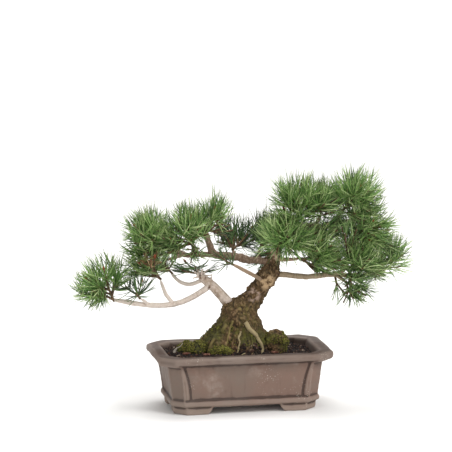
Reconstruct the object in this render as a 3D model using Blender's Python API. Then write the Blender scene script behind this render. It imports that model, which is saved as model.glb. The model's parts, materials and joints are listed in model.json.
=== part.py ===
"""Small Scots pine trained as a bonsai, growing in an unglazed clay pot.

Metres, +Z up. The pot's long side lies along X and its front faces -Y. The tree is
drawn in its own frame, TREE_TURN round from the pot's, with its origin on the soil in
the middle of the pot. The whole object is then set with the middle of its bounding box
over the origin and its feet on Z = 0.
"""

import math

import bmesh
import bpy
import numpy as np
from mathutils import Vector, noise

CM = 0.01
GAP = 0.0003  # clearance between pieces that touch

# ---- pot: driving dimensions ----
POT_LENGTH = 0.199  # over the rim
POT_DEPTH = 0.124  # over the rim
POT_HEIGHT = 0.0665
END_OVERHANG = 0.0110
FRONT_OVERHANG = 0.0085
RIM_WIDTH = 0.0155
LIP_HEIGHT = 0.0088
CORNER_LIP_DROP = 0.0020  # how much lower the rim hangs at the cut corners
CORNER_CUT = 0.018  # along each side, at the rim
CUT_SHRINK = 0.3  # how fast the cut shortens further in
BODY_TAPER = 0.0056  # each side, from under the rim to the base band
WALL = 0.0065
FLOOR = 0.0060
BAND_HEIGHT = 0.0085
BAND_SWELL = 0.0013
PANEL_RECESS = 0.0016
PANEL_EDGE = 0.0020  # width of the step beside a corner post
FOOT_HEIGHT = 0.0080
FOOT_LONG = 0.0425  # along the front and back
FOOT_SHORT = 0.030  # along the ends
FOOT_WIDTH = 0.013
FOOT_INSET = 0.0022
HOLE_DIAMETER = 0.016
HOLE_SPACING = 0.076

# ---- drainage screens ----
SCREEN_SIDE = 0.024
SCREEN_WIRE = 0.0012
SCREEN_MESHES = 5

# ---- soil ----
SOIL_DROP = 0.0062  # below the rim, at the walls
SOIL_MOUND = 0.0055  # rise towards the tree
SOIL_GRAIN = 0.0011
SOIL_SIDES = 40
SOIL_RINGS = 9

# ---- tree: overall sizes, and the sizes that it is drawn to ----
TREE_TURN = math.radians(-10)
TREE_SPREAD = 0.352
TREE_RISE = 0.205
DRAWN_SPREAD = 35.2
DRAWN_RISE = 20.5
TRUNK_DIAMETER = 0.0210
DRAWN_DIAMETER = 2.10
TUFT_SIZE = 1.0

# Wood runs as (x, y, height above the soil, radius), in centimetres.
TRUNK_RUN = [
    (-0.3, 0.1, -1.5, 3.6),
    (-0.3, 0.1, -0.7, 4.6),
    (-0.3, 0.0, 0.1, 4.7),
    (-0.25, 0.0, 0.9, 4.2),
    (-0.1, 0.0, 1.7, 3.5),
    (0.05, 0.0, 2.5, 2.95),
    (0.2, 0.0, 3.4, 2.45),
    (0.3, 0.0, 4.3, 2.1),
    (0.6, 0.0, 5.0, 1.65),
    (1.15, 0.0, 5.6, 1.2),
    (1.75, 0.0, 6.3, 1.04),
    (2.2, 0.0, 7.0, 0.97),
    (2.65, 0.05, 7.7, 0.97),
    (3.0, 0.05, 8.25, 1.14),
    (3.3, 0.0, 8.75, 1.1),
    (3.6, 0.0, 9.4, 0.86),
    (3.95, 0.0, 10.2, 0.74),
    (4.15, 0.0, 10.9, 0.66),
    (4.3, 0.05, 11.5, 0.5),
]
TRUNK_SIDES = 16
BASE_FLATTEN = 0.70  # depth over width of the root flare
FLARE_TOP = 4.3
FLARE_LOBES = 0.13

BRANCHES = {
    "left_limb": (
        "limb_bark",
        [
            [(-0.5, 0, 3.9, 0.85), (-1.15, 0, 5.35, 0.56), (-2.1, 0.1, 6.6, 0.5),
             (-3.1, 0.1, 7.7, 0.47), (-4.05, 0.2, 8.45, 0.42), (-4.4, 0.25, 8.85, 0.24)],
            [(-3.2, 0.1, 7.9, 0.2), (-3.15, 0.0, 8.35, 0.17), (-3.1, -0.05, 8.8, 0.13)],
        ],
        ["trunk"],
    ),
    "left_low_branch": (
        "limb_bark",
        [
            [(-3.1, 0.1, 7.7, 0.3), (-4.3, 0.0, 6.85, 0.27), (-5.6, -0.2, 6.15, 0.26),
             (-7.4, -0.4, 5.55, 0.27), (-9.7, -0.5, 5.52, 0.26), (-11.5, -0.5, 5.72, 0.23),
             (-13.4, -0.4, 6.05, 0.19), (-14.0, -0.4, 6.15, 0.12)],
            [(-7.3, -0.4, 5.6, 0.2), (-8.15, -0.3, 6.7, 0.17), (-8.6, -0.2, 7.9, 0.15),
             (-8.8, -0.2, 8.5, 0.1)],
            [(-10.1, -0.5, 5.6, 0.18), (-10.6, -0.8, 6.1, 0.16), (-11.1, -1.1, 6.5, 0.1)],
        ],
        ["left_limb"],
    ),
    "left_side_branch": (
        "limb_bark",
        [
            [(-3.9, 0.25, 8.3, 0.23), (-4.8, 0.6, 7.85, 0.2), (-5.6, 0.9, 7.6, 0.19),
             (-6.6, 1.2, 7.85, 0.17), (-7.3, 1.5, 8.5, 0.14), (-7.5, 1.6, 8.8, 0.1)],
        ],
        ["left_limb"],
    ),
    "upper_left_branch": (
        "old_bark",
        [
            [(3.9, 0.1, 10.0, 0.36), (3.0, 0.1, 10.3, 0.34), (2.1, 0.1, 10.45, 0.35),
             (1.2, 0.1, 10.4, 0.35), (0.1, 0.1, 10.8, 0.36), (-1.5, 0.1, 10.95, 0.36),
             (-2.7, 0.1, 11.1, 0.37), (-3.1, 0.05, 11.9, 0.31), (-3.35, -0.1, 12.7, 0.27),
             (-3.65, -0.2, 13.5, 0.22), (-3.8, -0.2, 13.85, 0.14)],
            [(-2.5, 0.1, 11.1, 0.28), (-4.2, 0.35, 11.1, 0.25), (-5.6, 0.5, 11.0, 0.22),
             (-6.9, 0.45, 11.2, 0.2), (-7.9, 0.3, 11.7, 0.16), (-8.1, 0.25, 11.9, 0.1)],
            [(-6.3, 0.5, 11.1, 0.16), (-7.2, -0.1, 10.8, 0.14), (-8.2, -0.6, 10.6, 0.1)],
            [(-4.5, 0.4, 11.1, 0.17), (-4.9, 1.1, 11.8, 0.14), (-5.1, 1.5, 12.2, 0.1)],
            [(-5.9, 0.5, 11.05, 0.17), (-7.2, 1.2, 11.6, 0.14), (-7.6, 1.5, 11.9, 0.1)],
            [(-4.4, 0.3, 11.1, 0.18), (-4.9, -0.4, 11.9, 0.15), (-5.2, -0.8, 12.5, 0.1)],
            [(-0.3, 0.1, 10.85, 0.18), (-0.5, 0.9, 11.2, 0.14), (-0.6, 1.3, 11.5, 0.1)],
            [(2.2, 0.1, 10.5, 0.18), (2.3, 1.0, 11.1, 0.14), (2.4, 1.5, 11.5, 0.1)],
        ],
        ["trunk"],
    ),
    "thin_branch": (
        "limb_bark",
        [
            [(2.7, -0.4, 8.2, 0.22), (2.0, -1.1, 8.75, 0.17), (1.0, -1.15, 9.3, 0.16),
             (-0.1, -1.1, 9.9, 0.14), (-0.6, -1.1, 10.15, 0.1)],
        ],
        ["trunk"],
    ),
    "right_branch": (
        "limb_bark",
        [
            [(3.2, 0.0, 8.8, 0.33), (4.5, -0.1, 8.85, 0.28), (5.8, -0.2, 8.75, 0.27),
             (7.6, -0.3, 8.57, 0.26), (10.0, -0.3, 8.8, 0.24), (12.0, 0.0, 8.65, 0.21),
             (13.7, 0.3, 8.5, 0.18), (15.0, 0.4, 9.0, 0.15), (15.3, 0.4, 9.25, 0.1)],
            [(10.6, -0.25, 8.8, 0.18), (11.6, -0.7, 9.2, 0.15), (12.1, -1.0, 9.6, 0.1)],
            [(11.2, -0.1, 8.75, 0.18), (11.9, 0.9, 9.2, 0.15), (12.2, 1.4, 9.6, 0.1)],
            [(10.9, -0.2, 8.7, 0.16), (11.7, -0.7, 8.2, 0.13), (12.0, -0.9, 8.0, 0.1)],
        ],
        ["trunk"],
    ),
    "crown_branch": (
        "old_bark",
        [
            [(4.2, 0.0, 10.9, 0.42), (4.6, 0.3, 12.1, 0.4), (5.6, 0.7, 13.3, 0.36),
             (7.2, 0.8, 14.0, 0.34), (9.4, 0.6, 14.1, 0.32), (11.2, 0.3, 14.4, 0.26),
             (12.3, 0.0, 14.3, 0.2), (12.6, -0.1, 14.3, 0.1)],
            [(6.2, 0.7, 13.6, 0.22), (6.5, 0.4, 14.4, 0.18), (6.6, 0.2, 14.9, 0.1)],
            [(10.6, 0.4, 14.3, 0.2), (11.2, 0.3, 15.2, 0.17), (11.4, 0.2, 15.7, 0.1)],
            [(8.6, 0.7, 14.1, 0.2), (9.0, 1.2, 14.8, 0.17), (9.2, 1.5, 15.2, 0.1)],
            [(11.0, 0.35, 14.4, 0.18), (11.6, 1.0, 14.5, 0.15), (11.9, 1.5, 14.6, 0.1)],
            [(6.0, 0.8, 13.4, 0.2), (6.5, 1.5, 13.1, 0.15), (6.7, 1.9, 13.0, 0.1)],
            [(4.5, 0.2, 11.8, 0.22), (4.8, -0.4, 12.1, 0.17), (5.0, -0.8, 12.3, 0.1)],
        ],
        ["trunk"],
    ),
    "front_right_twig": (
        "limb_bark",
        [
            [(4.0, -0.2, 10.6, 0.26), (5.2, -0.6, 10.6, 0.2), (6.3, -1.0, 10.7, 0.16),
             (6.7, -1.1, 10.8, 0.1)],
        ],
        ["trunk"],
    ),
}
BRANCH_SIDES = 8

# Tufts of needles: branch, centre, half-axes and the twig end they grow from, in cm.
TUFTS = {
    "needles_far_left": ((-16.2, -0.5, 7.7), (2.8, 2.7, 2.7), (-14.0, -0.4, 6.15)),
    "needles_low_stub": ((-11.5, -1.9, 8.1), (1.8, 1.6, 1.7), (-11.1, -1.1, 6.5)),
    "needles_left_outer_front": ((-9.9, -2.4, 14.0), (3.1, 2.8, 2.9), (-8.1, 0.25, 11.9)),
    "needles_left_outer_back": ((-9.2, 3.4, 13.5), (2.9, 2.7, 2.7), (-7.6, 1.5, 11.9)),
    "needles_left_mid_front": ((-6.0, -2.4, 14.8), (2.7, 2.7, 2.9), (-5.2, -0.8, 12.5)),
    "needles_left_mid_back": ((-5.5, 3.5, 14.2), (2.7, 2.6, 2.7), (-5.1, 1.5, 12.2)),
    "needles_left_top": ((-2.6, -0.2, 15.8), (2.3, 2.2, 2.5), (-3.8, -0.2, 13.85)),
    "needles_left_lower_front": ((-10.3, -1.6, 10.3), (2.6, 2.3, 2.2), (-8.8, -0.2, 8.5)),
    "needles_left_lower_back": ((-8.4, 3.1, 10.2), (2.5, 2.3, 2.0), (-7.5, 1.6, 8.8)),
    "needles_left_inner": ((-4.8, 0.9, 9.75), (2.2, 1.6, 1.1), (-4.4, 0.25, 8.85)),
    "needles_centre_back_left": ((-1.0, 3.2, 12.8), (2.2, 2.2, 2.3), (-0.6, 1.3, 11.5)),
    "needles_centre_back_right": ((2.7, 3.5, 13.2), (2.4, 2.4, 2.6), (2.4, 1.5, 11.5)),
    "needles_top_left": ((6.9, -0.4, 17.0), (3.3, 3.0, 3.1), (6.6, 0.2, 14.9)),
    "needles_top_right": ((12.9, -0.5, 17.9), (3.6, 3.1, 3.3), (11.4, 0.2, 15.7)),
    "needles_top_back": ((9.7, 3.5, 16.8), (3.1, 2.7, 2.8), (9.2, 1.5, 15.2)),
    "needles_right_shoulder": ((14.9, -1.2, 14.6), (2.7, 2.5, 2.3), (12.6, -0.1, 14.3)),
    "needles_right_back": ((13.5, 3.6, 14.6), (2.9, 2.6, 2.5), (11.9, 1.5, 14.6)),
    "needles_inner_back": ((7.6, 3.9, 12.9), (2.7, 2.4, 2.4), (6.7, 1.9, 13.0)),
    "needles_right_front": ((5.6, -2.8, 13.5), (3.5, 2.8, 2.8), (5.0, -0.8, 12.3)),
    "needles_front_bud": ((8.9, -2.2, 11.4), (2.8, 2.5, 2.2), (6.7, -1.1, 10.8)),
    "needles_lower_right_front": ((13.6, -2.0, 11.0), (3.1, 2.6, 2.5), (12.1, -1.0, 9.6)),
    "needles_lower_right_end": ((17.0, 0.6, 10.9), (2.6, 2.5, 2.3), (15.3, 0.4, 9.25)),
    "needles_lower_right_back": ((13.2, 3.0, 11.1), (2.8, 2.5, 2.3), (12.2, 1.4, 9.6)),
    "needles_lower_right_hanging": ((12.5, -1.7, 6.9), (2.0, 1.7, 1.4), (12.0, -0.9, 8.0)),
}
SPIKE_DEPTH = 0.34

# Roots that show on the flare, as (angle in degrees, height, radius) runs.
ROOTS = {
    "pale_root": [(-68, 3.3, 0.26), (-60, 2.4, 0.3), (-51, 1.4, 0.26), (-46, 0.3, 0.17),
                  (-45, -0.5, 0.1)],
    "thin_root": [(-92, 2.7, 0.14), (-95, 1.8, 0.15), (-96, 0.8, 0.13), (-97, -0.4, 0.08)],
    "side_root": [(-122, 2.6, 0.2), (-131, 1.8, 0.22), (-138, 0.9, 0.2), (-142, -0.5, 0.1)],
}
ROOT_LIFT = 0.6  # of its radius, how far a root's middle stands off the flare
ROOT_STEPS = 3  # stretches between two given points of a root

# Lumps: (x, y, height above the soil), half-axes, seed, in cm, in the tree's frame.
MOSS = {
    "moss_left": ((-4.9, -1.0, 0.55), (1.75, 1.5, 0.95), 3),
    "moss_right": ((4.1, -0.6, 1.1), (1.0, 1.2, 1.6), 5),
    "moss_front": ((-2.1, -2.75, 0.55), (1.2, 0.8, 0.8), 8),
}
PEBBLE = ((-7.05, -1.2, 0.35), (0.42, 0.36, 0.46), 2)
CHIPS = {
    "bark_chip_left": ((-5.9, -2.75, 0.42), (0.62, 0.2, 0.16), 11),
    "bark_chip_middle": ((-3.6, -3.4, 0.42), (0.6, 0.24, 0.15), 12),
    "bark_chip_right": ((3.9, -2.2, 0.4), (0.5, 0.22, 0.16), 14),
}

COLOURS = {
    "clay": ((0.255, 0.183, 0.150, 1), 0.85),
    "screen_plastic": ((0.025, 0.025, 0.026, 1), 0.6),
    "soil": ((0.030, 0.018, 0.013, 1), 0.95),
    "moss": ((0.155, 0.165, 0.028, 1), 0.95),
    "stone": ((0.300, 0.285, 0.255, 1), 0.8),
    "chip_bark": ((0.235, 0.085, 0.048, 1), 0.85),
    "old_bark": ((0.205, 0.130, 0.085, 1), 0.9),
    "limb_bark": ((0.420, 0.300, 0.225, 1), 0.75),
    "pale_root": ((0.520, 0.440, 0.300, 1), 0.8),
    "needles": ((0.070, 0.170, 0.045, 1), 0.55),
}

SOIL_LEVEL = POT_HEIGHT - SOIL_DROP
SLOTS = {}


# ---------------------------------------------------------------- helpers
def clear_scene():
    for obj in list(bpy.data.objects):
        bpy.data.objects.remove(obj, do_unlink=True)


def material(slot):
    """The one material of a slot, made the first time it is asked for."""
    if slot not in SLOTS:
        colour, rough = COLOURS[slot]
        made = bpy.data.materials.new(slot)
        made.use_nodes = True
        shader = made.node_tree.nodes["Principled BSDF"]
        shader.inputs["Base Color"].default_value = colour
        shader.inputs["Roughness"].default_value = rough
        shader.inputs["Metallic"].default_value = 0.0
        made.diffuse_color = colour
        SLOTS[slot] = made
    return SLOTS[slot]


def empty(name, parent=None):
    made = bpy.data.objects.new(name, None)
    bpy.context.scene.collection.objects.link(made)
    made.parent = parent
    return made


def place(name, bm, slot, parent, smooth=True):
    """Makes an object from a bmesh, facing out, under its parent."""
    bmesh.ops.recalc_face_normals(bm, faces=bm.faces)
    mesh = bpy.data.meshes.new(name)
    bm.to_mesh(mesh)
    bm.free()
    if smooth:
        mesh.shade_smooth()
        mesh.set_sharp_from_angle(angle=math.radians(40))
    mesh.materials.append(material(slot))
    made = bpy.data.objects.new(name, mesh)
    bpy.context.scene.collection.objects.link(made)
    made.parent = parent
    return made


def helper(name, bm, parent):
    """A cutter or an operand of a union, which isn't a piece itself."""
    made = place(name, bm, "clay", parent, smooth=False)
    made.hide_render = True
    made.display_type = "WIRE"
    return made


def combine(target, other, operation):
    step = target.modifiers.new(f"{operation.lower()} {other.name}", "BOOLEAN")
    step.object = other
    step.operation = operation
    step.solver = "EXACT"


def band(bm, low, high):
    """Triangles between two rings, always split the same way."""
    for i in range(len(low)):
        j = (i + 1) % len(low)
        bm.faces.new((low[i], low[j], high[j]))
        bm.faces.new((low[i], high[j], high[i]))


def loft(bm, rings):
    """Joins rings of equal length, with a flat face over each end."""
    loops = [[bm.verts.new(p) for p in ring] for ring in rings]
    for low, high in zip(loops, loops[1:]):
        band(bm, low, high)
    bm.faces.new(loops[0][::-1])
    bm.faces.new(loops[-1])
    return loops


def box(bm, low, high):
    corners = [[low[i], high[i]] for i in range(3)]
    rings = []
    for z in corners[2]:
        (x0, x1), (y0, y1) = corners[0], corners[1]
        rings.append([(x0, y0, z), (x1, y0, z), (x1, y1, z), (x0, y1, z)])
    loft(bm, rings)


# ---------------------------------------------------------------- pot
def pot_outline(inset, recess=0.0, edge=PANEL_EDGE):
    """Sixteen (x, y, at a corner) points round the pot, inset from the rim's outline.

    inset is how far in, at the ends and at the front and back.
    """
    at_ends, at_front = inset
    half_l = POT_LENGTH / 2 - at_ends
    half_w = POT_DEPTH / 2 - at_front
    cut = CORNER_CUT - CUT_SHRINK * at_ends
    points = []
    for sx, sy in ((1, -1), (1, 1), (-1, 1), (-1, -1)):
        corner = [
            (half_l - cut - edge, half_w - recess, False),
            (half_l - cut, half_w, True),
            (half_l, half_w - cut, True),
            (half_l - recess, half_w - cut - edge, False),
        ]
        if sx * sy > 0:
            corner.reverse()
        points += [(sx * x, sy * y, post) for x, y, post in corner]
    return points


def body_inset(z, more=0.0):
    """How far in the pot's outside stands below the rim, and more for its inside."""
    top = POT_HEIGHT - LIP_HEIGHT
    bottom = FOOT_HEIGHT + BAND_HEIGHT
    share = min(1.0, max(0.0, (top - z) / (top - bottom)))
    slope = BODY_TAPER * share + more
    return END_OVERHANG + slope, FRONT_OVERHANG + slope


def pot_ring(z, inset, recess=0.0, drop=0.0):
    return [(x, y, z - drop * post) for x, y, post in pot_outline(inset, recess)]


def rim_ring(z, inset, drop=0.0):
    return pot_ring(z, (inset, inset), drop=drop)


def pot_bmesh():
    top, lip = POT_HEIGHT, POT_HEIGHT - LIP_HEIGHT
    foot, band = FOOT_HEIGHT, FOOT_HEIGHT + BAND_HEIGHT
    middle = (band + lip) / 2
    floor = foot + FLOOR
    drop = CORNER_LIP_DROP
    shell = [
        pot_ring(foot, body_inset(foot, 0.0045)),
        pot_ring(foot + 0.15 * BAND_HEIGHT, body_inset(foot, 0.0010)),
        pot_ring(foot + 0.35 * BAND_HEIGHT, body_inset(foot, -BAND_SWELL)),
        pot_ring(foot + 0.80 * BAND_HEIGHT, body_inset(foot, -BAND_SWELL)),
        pot_ring(band, body_inset(band), PANEL_RECESS),
        pot_ring(middle, body_inset(middle), PANEL_RECESS),
        pot_ring(lip - drop - 0.001, body_inset(lip - drop), PANEL_RECESS),
        pot_ring(lip, body_inset(lip), PANEL_RECESS, drop),
        rim_ring(lip + 0.0010, 0.0018, drop),
        rim_ring(lip + 0.35 * LIP_HEIGHT, 0.0, 0.6 * drop),
        rim_ring(top - 0.0016, 0.0003),
        rim_ring(top, 0.0018),
        rim_ring(top, RIM_WIDTH - 0.0015),
        rim_ring(top - 0.0015, RIM_WIDTH),
        pot_ring(lip, body_inset(lip, WALL)),
        pot_ring(floor + 0.003, body_inset(floor, WALL)),
        pot_ring(floor, body_inset(floor, WALL + 0.003)),
    ]
    bm = bmesh.new()
    loft(bm, shell)
    return bm


def foot_outline(reach, inset):
    """An L round one corner of the base, in the quarter where x and y are positive."""
    at_ends, at_front = body_inset(FOOT_HEIGHT, inset)
    half_l, half_w = POT_LENGTH / 2 - at_ends, POT_DEPTH / 2 - at_front
    cut = CORNER_CUT - CUT_SHRINK * body_inset(FOOT_HEIGHT)[0]
    in_l, in_w = half_l - FOOT_WIDTH + 2 * inset, half_w - FOOT_WIDTH + 2 * inset
    inner = cut * 0.4
    far_l, far_w = half_l - FOOT_LONG + reach, half_w - FOOT_SHORT + reach
    return [
        (half_l, far_w), (half_l, half_w - cut), (half_l - cut, half_w), (far_l, half_w),
        (far_l, in_w), (in_l - inner, in_w), (in_l, in_w - inner), (in_l, far_w),
    ]


def foot_bmesh(sx, sy):
    steps = [
        (FOOT_HEIGHT + 0.002, 0.0, FOOT_INSET),
        (FOOT_HEIGHT - 0.0005, 0.0, FOOT_INSET),
        (0.55 * FOOT_HEIGHT, 0.0012, FOOT_INSET),
        (0.12 * FOOT_HEIGHT, 0.0048, FOOT_INSET + 0.0006),
        (0.0, 0.0062, FOOT_INSET + 0.0016),
    ]
    rings = [
        [(sx * x, sy * y, z) for x, y in foot_outline(reach, inset)]
        for z, reach, inset in steps
    ]
    bm = bmesh.new()
    loft(bm, rings)
    return bm


def drain_cutter(x):
    bm = bmesh.new()
    bmesh.ops.create_cone(
        bm, cap_ends=True, segments=24, radius1=HOLE_DIAMETER / 2,
        radius2=HOLE_DIAMETER / 2, depth=4 * FLOOR,
    )
    bmesh.ops.translate(bm, verts=bm.verts, vec=(x, 0, FOOT_HEIGHT + FLOOR / 2))
    return bm


def build_pot(stand):
    pot = place("pot", pot_bmesh(), "clay", stand)
    for sx in (1, -1):
        for sy in (1, -1):
            foot = helper(f"foot_form_{sx}_{sy}", foot_bmesh(sx, sy), stand)
            combine(pot, foot, "UNION")
    for sx in (1, -1):
        hole = helper(f"drain_{sx}", drain_cutter(sx * HOLE_SPACING / 2), stand)
        combine(pot, hole, "DIFFERENCE")
    return pot


def build_screens(stand):
    """A square of plastic mesh over each drainage hole, under the soil."""
    floor = FOOT_HEIGHT + FLOOR
    for name, side in (("drain_screen_left", -1), ("drain_screen_right", 1)):
        bm = bmesh.new()
        bmesh.ops.create_grid(
            bm, x_segments=SCREEN_MESHES, y_segments=SCREEN_MESHES,
            size=SCREEN_SIDE / 2 - SCREEN_WIRE,
        )
        height = floor + GAP + SCREEN_WIRE / 2
        bmesh.ops.translate(bm, verts=bm.verts, vec=(side * HOLE_SPACING / 2, 0, height))
        screen = place(name, bm, "screen_plastic", stand, smooth=False)
        wires = screen.modifiers.new("wires", "WIREFRAME")
        wires.thickness = SCREEN_WIRE
        wires.use_boundary = True


# ---------------------------------------------------------------- tree shapes
def drawn(point):
    """A drawn (x, y, height) in centimetres, as metres in the tree's frame."""
    across = CM * TREE_SPREAD / (CM * DRAWN_SPREAD)
    up = CM * TREE_RISE / (CM * DRAWN_RISE)
    return Vector((point[0] * across, point[1] * across, point[2] * up))


def girth(radius):
    return CM * radius * TRUNK_DIAMETER / (CM * DRAWN_DIAMETER)


def smooth_run(run, per_span):
    """Points on a Catmull-Rom curve through a run, with the radius carried along."""
    points = np.array([[*drawn(p), girth(p[3])] for p in run])
    ends = np.vstack([2 * points[0] - points[1], points, 2 * points[-1] - points[-2]])
    made = []
    for i in range(1, len(ends) - 2):
        a, b, c, d = ends[i - 1 : i + 3]
        for t in np.arange(per_span) / per_span:
            cubic = (-a + 3 * b - 3 * c + d) * t**3 + (2 * a - 5 * b + 4 * c - d) * t**2
            made.append(0.5 * (cubic + (c - a) * t + 2 * b))
    made.append(points[-1])
    return np.array(made)


def frames(points):
    """An across and an up direction at each point, carried along without twist."""
    along = np.gradient(points, axis=0)
    along /= np.linalg.norm(along, axis=1)[:, None]
    side = np.array([1.0, 0.0, 0.0]) if abs(along[0][0]) < 0.8 else np.array([0, 1.0, 0])
    made = []
    for t in along:
        side = side - t * side.dot(t)
        side = side / np.linalg.norm(side)
        made.append((side, np.cross(t, side)))
    return made


def bark_swell(point, seed, amount):
    """A factor on the radius that makes bark uneven."""
    return 1.0 + amount * noise.noise(Vector(point) * 70 + Vector((seed, 0, 0)))


def tube_rings(run, sides, per_span, seed, grow=0.0):
    path = smooth_run(run, per_span)
    rings = []
    for (x, y, z, radius), (side, up) in zip(path, frames(path[:, :3])):
        centre = np.array((x, y, z))
        ring = []
        for k in range(sides):
            turn = 2 * math.pi * k / sides
            out = math.cos(turn) * side + math.sin(turn) * up
            reach = radius * bark_swell(centre + out * radius, seed, 0.10) + grow
            ring.append(centre + out * reach)
        rings.append(ring)
    return rings, path


def tube(run, sides, per_span, seed, grow=0.0):
    """A closed length of wood that ends in a blunt point, and its rings."""
    rings, path = tube_rings(run, sides, per_span, seed, grow)
    bm = bmesh.new()
    loops = [[bm.verts.new(p) for p in ring] for ring in rings[:-1]]
    for low, high in zip(loops, loops[1:]):
        band(bm, low, high)
    bm.faces.new(loops[0][::-1])
    step = path[-1][:3] - path[-2][:3]
    tip = bm.verts.new(path[-1][:3] + grow * step / np.linalg.norm(step))
    for i in range(sides):
        bm.faces.new((loops[-1][i], loops[-1][(i + 1) % sides], tip))
    outline = [np.array(ring) for ring in rings[:-1]] + [np.array([path[-1][:3]])]
    return bm, outline


def flare_radius(angle, height, radius):
    """The root flare: flatter front to back, with lobes that run into roots."""
    low = min(1.0, max(0.0, 1 - height / FLARE_TOP))
    flat = BASE_FLATTEN + (1 - BASE_FLATTEN) * (1 - low) ** 1.5
    across = 1 / math.hypot(math.cos(angle), math.sin(angle) / flat)
    lobes = 1 + FLARE_LOBES * low * (math.sin(5 * angle + 0.6) + 0.5 * math.sin(8 * angle))
    return radius * across * lobes


def trunk_rings(grow=0.0):
    path = smooth_run(TRUNK_RUN, 1)
    rings = []
    for (x, y, z, radius), (side, up), row in zip(path, frames(path[:, :3]), TRUNK_RUN):
        centre = np.array((x, y, z))
        ring = []
        for k in range(TRUNK_SIDES):
            turn = 2 * math.pi * k / TRUNK_SIDES
            out = math.cos(turn) * side + math.sin(turn) * up
            reach = flare_radius(turn, row[2], radius)
            reach = reach * bark_swell(centre + out * reach, 1, 0.12) + grow
            ring.append(centre + out * reach)
        rings.append(ring)
    return rings


def trunk_bmesh(grow=0.0):
    bm = bmesh.new()
    rings = trunk_rings(grow)
    loft(bm, rings)
    return bm, [np.array(ring) for ring in rings]


def by_the_trunk(centre):
    """A drawn point that moves out as the trunk gets stouter."""
    stout = girth(1.0) / drawn((1, 0, 0)).x
    return (centre[0] * stout, centre[1] * stout, centre[2])


def lump(centre, axes, seed, grow=0.0, rough=0.12, detail=2):
    """A rounded, uneven body: a moss cushion, a pebble or a chip of bark."""
    bm = bmesh.new()
    bmesh.ops.create_icosphere(bm, subdivisions=detail, radius=1.0)
    middle = drawn(centre)
    for v in bm.verts:
        out = v.co.normalized()
        uneven = 1 + rough * noise.noise(out * 1.7 + Vector((seed, seed, 0)))
        reach = Vector([out[i] * CM * axes[i] * uneven for i in range(3)])
        v.co = middle + reach + out * grow
    return bm


# ---------------------------------------------------------------- wood
def build_trunk(tree):
    bm, rings = trunk_bmesh()
    return place("trunk", bm, "old_bark", tree), {"trunk": [rings]}


def build_branches(tree, outlines):
    """Each branch with its side twigs as one piece, cut to meet what it grows from."""
    cutters = {"trunk": [helper("trunk_cutter", trunk_bmesh(GAP)[0], tree)]}
    for n, (name, (slot, runs, parents)) in enumerate(BRANCHES.items()):
        outlines[name] = []
        pieces = []
        for k, run in enumerate(runs):
            sides = BRANCH_SIDES if k == 0 else BRANCH_SIDES - 2
            per_span = 2 if k == 0 else 1
            bm, outline = tube(run, sides, per_span, seed=10 * n + k)
            outlines[name].append(outline)
            if k == 0:
                branch = place(name, bm, slot, tree)
            else:
                pieces.append(helper(f"{name}_twig_{k}", bm, tree))
        for piece in pieces:
            combine(branch, piece, "UNION")
        for parent in parents:
            for cutter in cutters[parent]:
                combine(branch, cutter, "DIFFERENCE")
        grown = tube(runs[0], BRANCH_SIDES, 2, seed=10 * n, grow=GAP)[0]
        cutters[name] = [helper(f"{name}_cutter", grown, tree)]
    return cutters["trunk"][0]


def on_flare(rings, degrees, height):
    """The point of the trunk's surface at an angle and a drawn height, and the way out."""
    row = np.interp(height, [p[2] for p in TRUNK_RUN], range(len(TRUNK_RUN)))
    turn = TRUNK_SIDES * (degrees / 360 % 1)
    low, k = int(row), int(turn)
    part, share = turn - k, row - low
    at_angle = [
        ring[k] * (1 - part) + ring[(k + 1) % TRUNK_SIDES] * part
        for ring in rings[low : low + 2]
    ]
    middles = [ring.mean(axis=0) for ring in rings[low : low + 2]]
    point = at_angle[0] * (1 - share) + at_angle[1] * share
    out = point - (middles[0] * (1 - share) + middles[1] * share)
    return point, out / np.linalg.norm(out)


def root_run(rows):
    """A root's points just outside the flare, in drawn centimetres."""
    rings = [np.array(ring) for ring in trunk_rings()]
    unit = np.array((drawn((1, 0, 0)).x, drawn((0, 1, 0)).y, drawn((0, 0, 1)).z))
    steps = np.arange(ROOT_STEPS * (len(rows) - 1) + 1) / ROOT_STEPS
    run = []
    for step in steps:
        degrees, height, radius = (
            np.interp(step, range(len(rows)), column) for column in zip(*rows)
        )
        point, out = on_flare(rings, degrees, height)
        run.append((*((point + out * ROOT_LIFT * girth(radius)) / unit), radius))
    return run


def build_roots(tree, trunk_cutter):
    cutters = []
    for n, (name, rows) in enumerate(ROOTS.items()):
        run = root_run(rows)
        root = place(name, tube(run, BRANCH_SIDES, 1, seed=90 + n)[0], "pale_root", tree)
        combine(root, trunk_cutter, "DIFFERENCE")
        grown = tube(run, BRANCH_SIDES, 1, seed=90 + n, grow=GAP)[0]
        cutters.append(helper(f"{name}_cutter", grown, tree))
    return cutters


# ---------------------------------------------------------------- needles
def wood_planes(centre, outlines):
    """For each stretch of wood, the plane that the tuft stays beyond: (normal, height)."""
    planes = []
    for name, tubes in outlines.items():
        for rings in tubes:
            for low, high in zip(rings, rings[1:]):
                a, b = low.mean(0), high.mean(0)
                along = b - a
                share = np.clip((centre - a).dot(along) / along.dot(along), 0, 1)
                away = centre - (a + share * along)
                normal = away / np.linalg.norm(away)
                height = np.vstack([low, high]).dot(normal).max() + GAP
                if height > centre.dot(normal):
                    raise ValueError(f"{name} runs through the middle of a tuft at {centre}")
                planes.append((normal, height))
    return planes


def tuft_planes(name, middles):
    """The planes halfway to each neighbouring tuft, shared by size."""
    centre, size = middles[name]
    planes = []
    for other, (middle, reach) in middles.items():
        if other == name:
            continue
        away = centre - middle
        far = np.linalg.norm(away)
        normal = away / far
        planes.append((normal, middle.dot(normal) + far * reach / (size + reach) + GAP / 2))
    return planes


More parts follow.
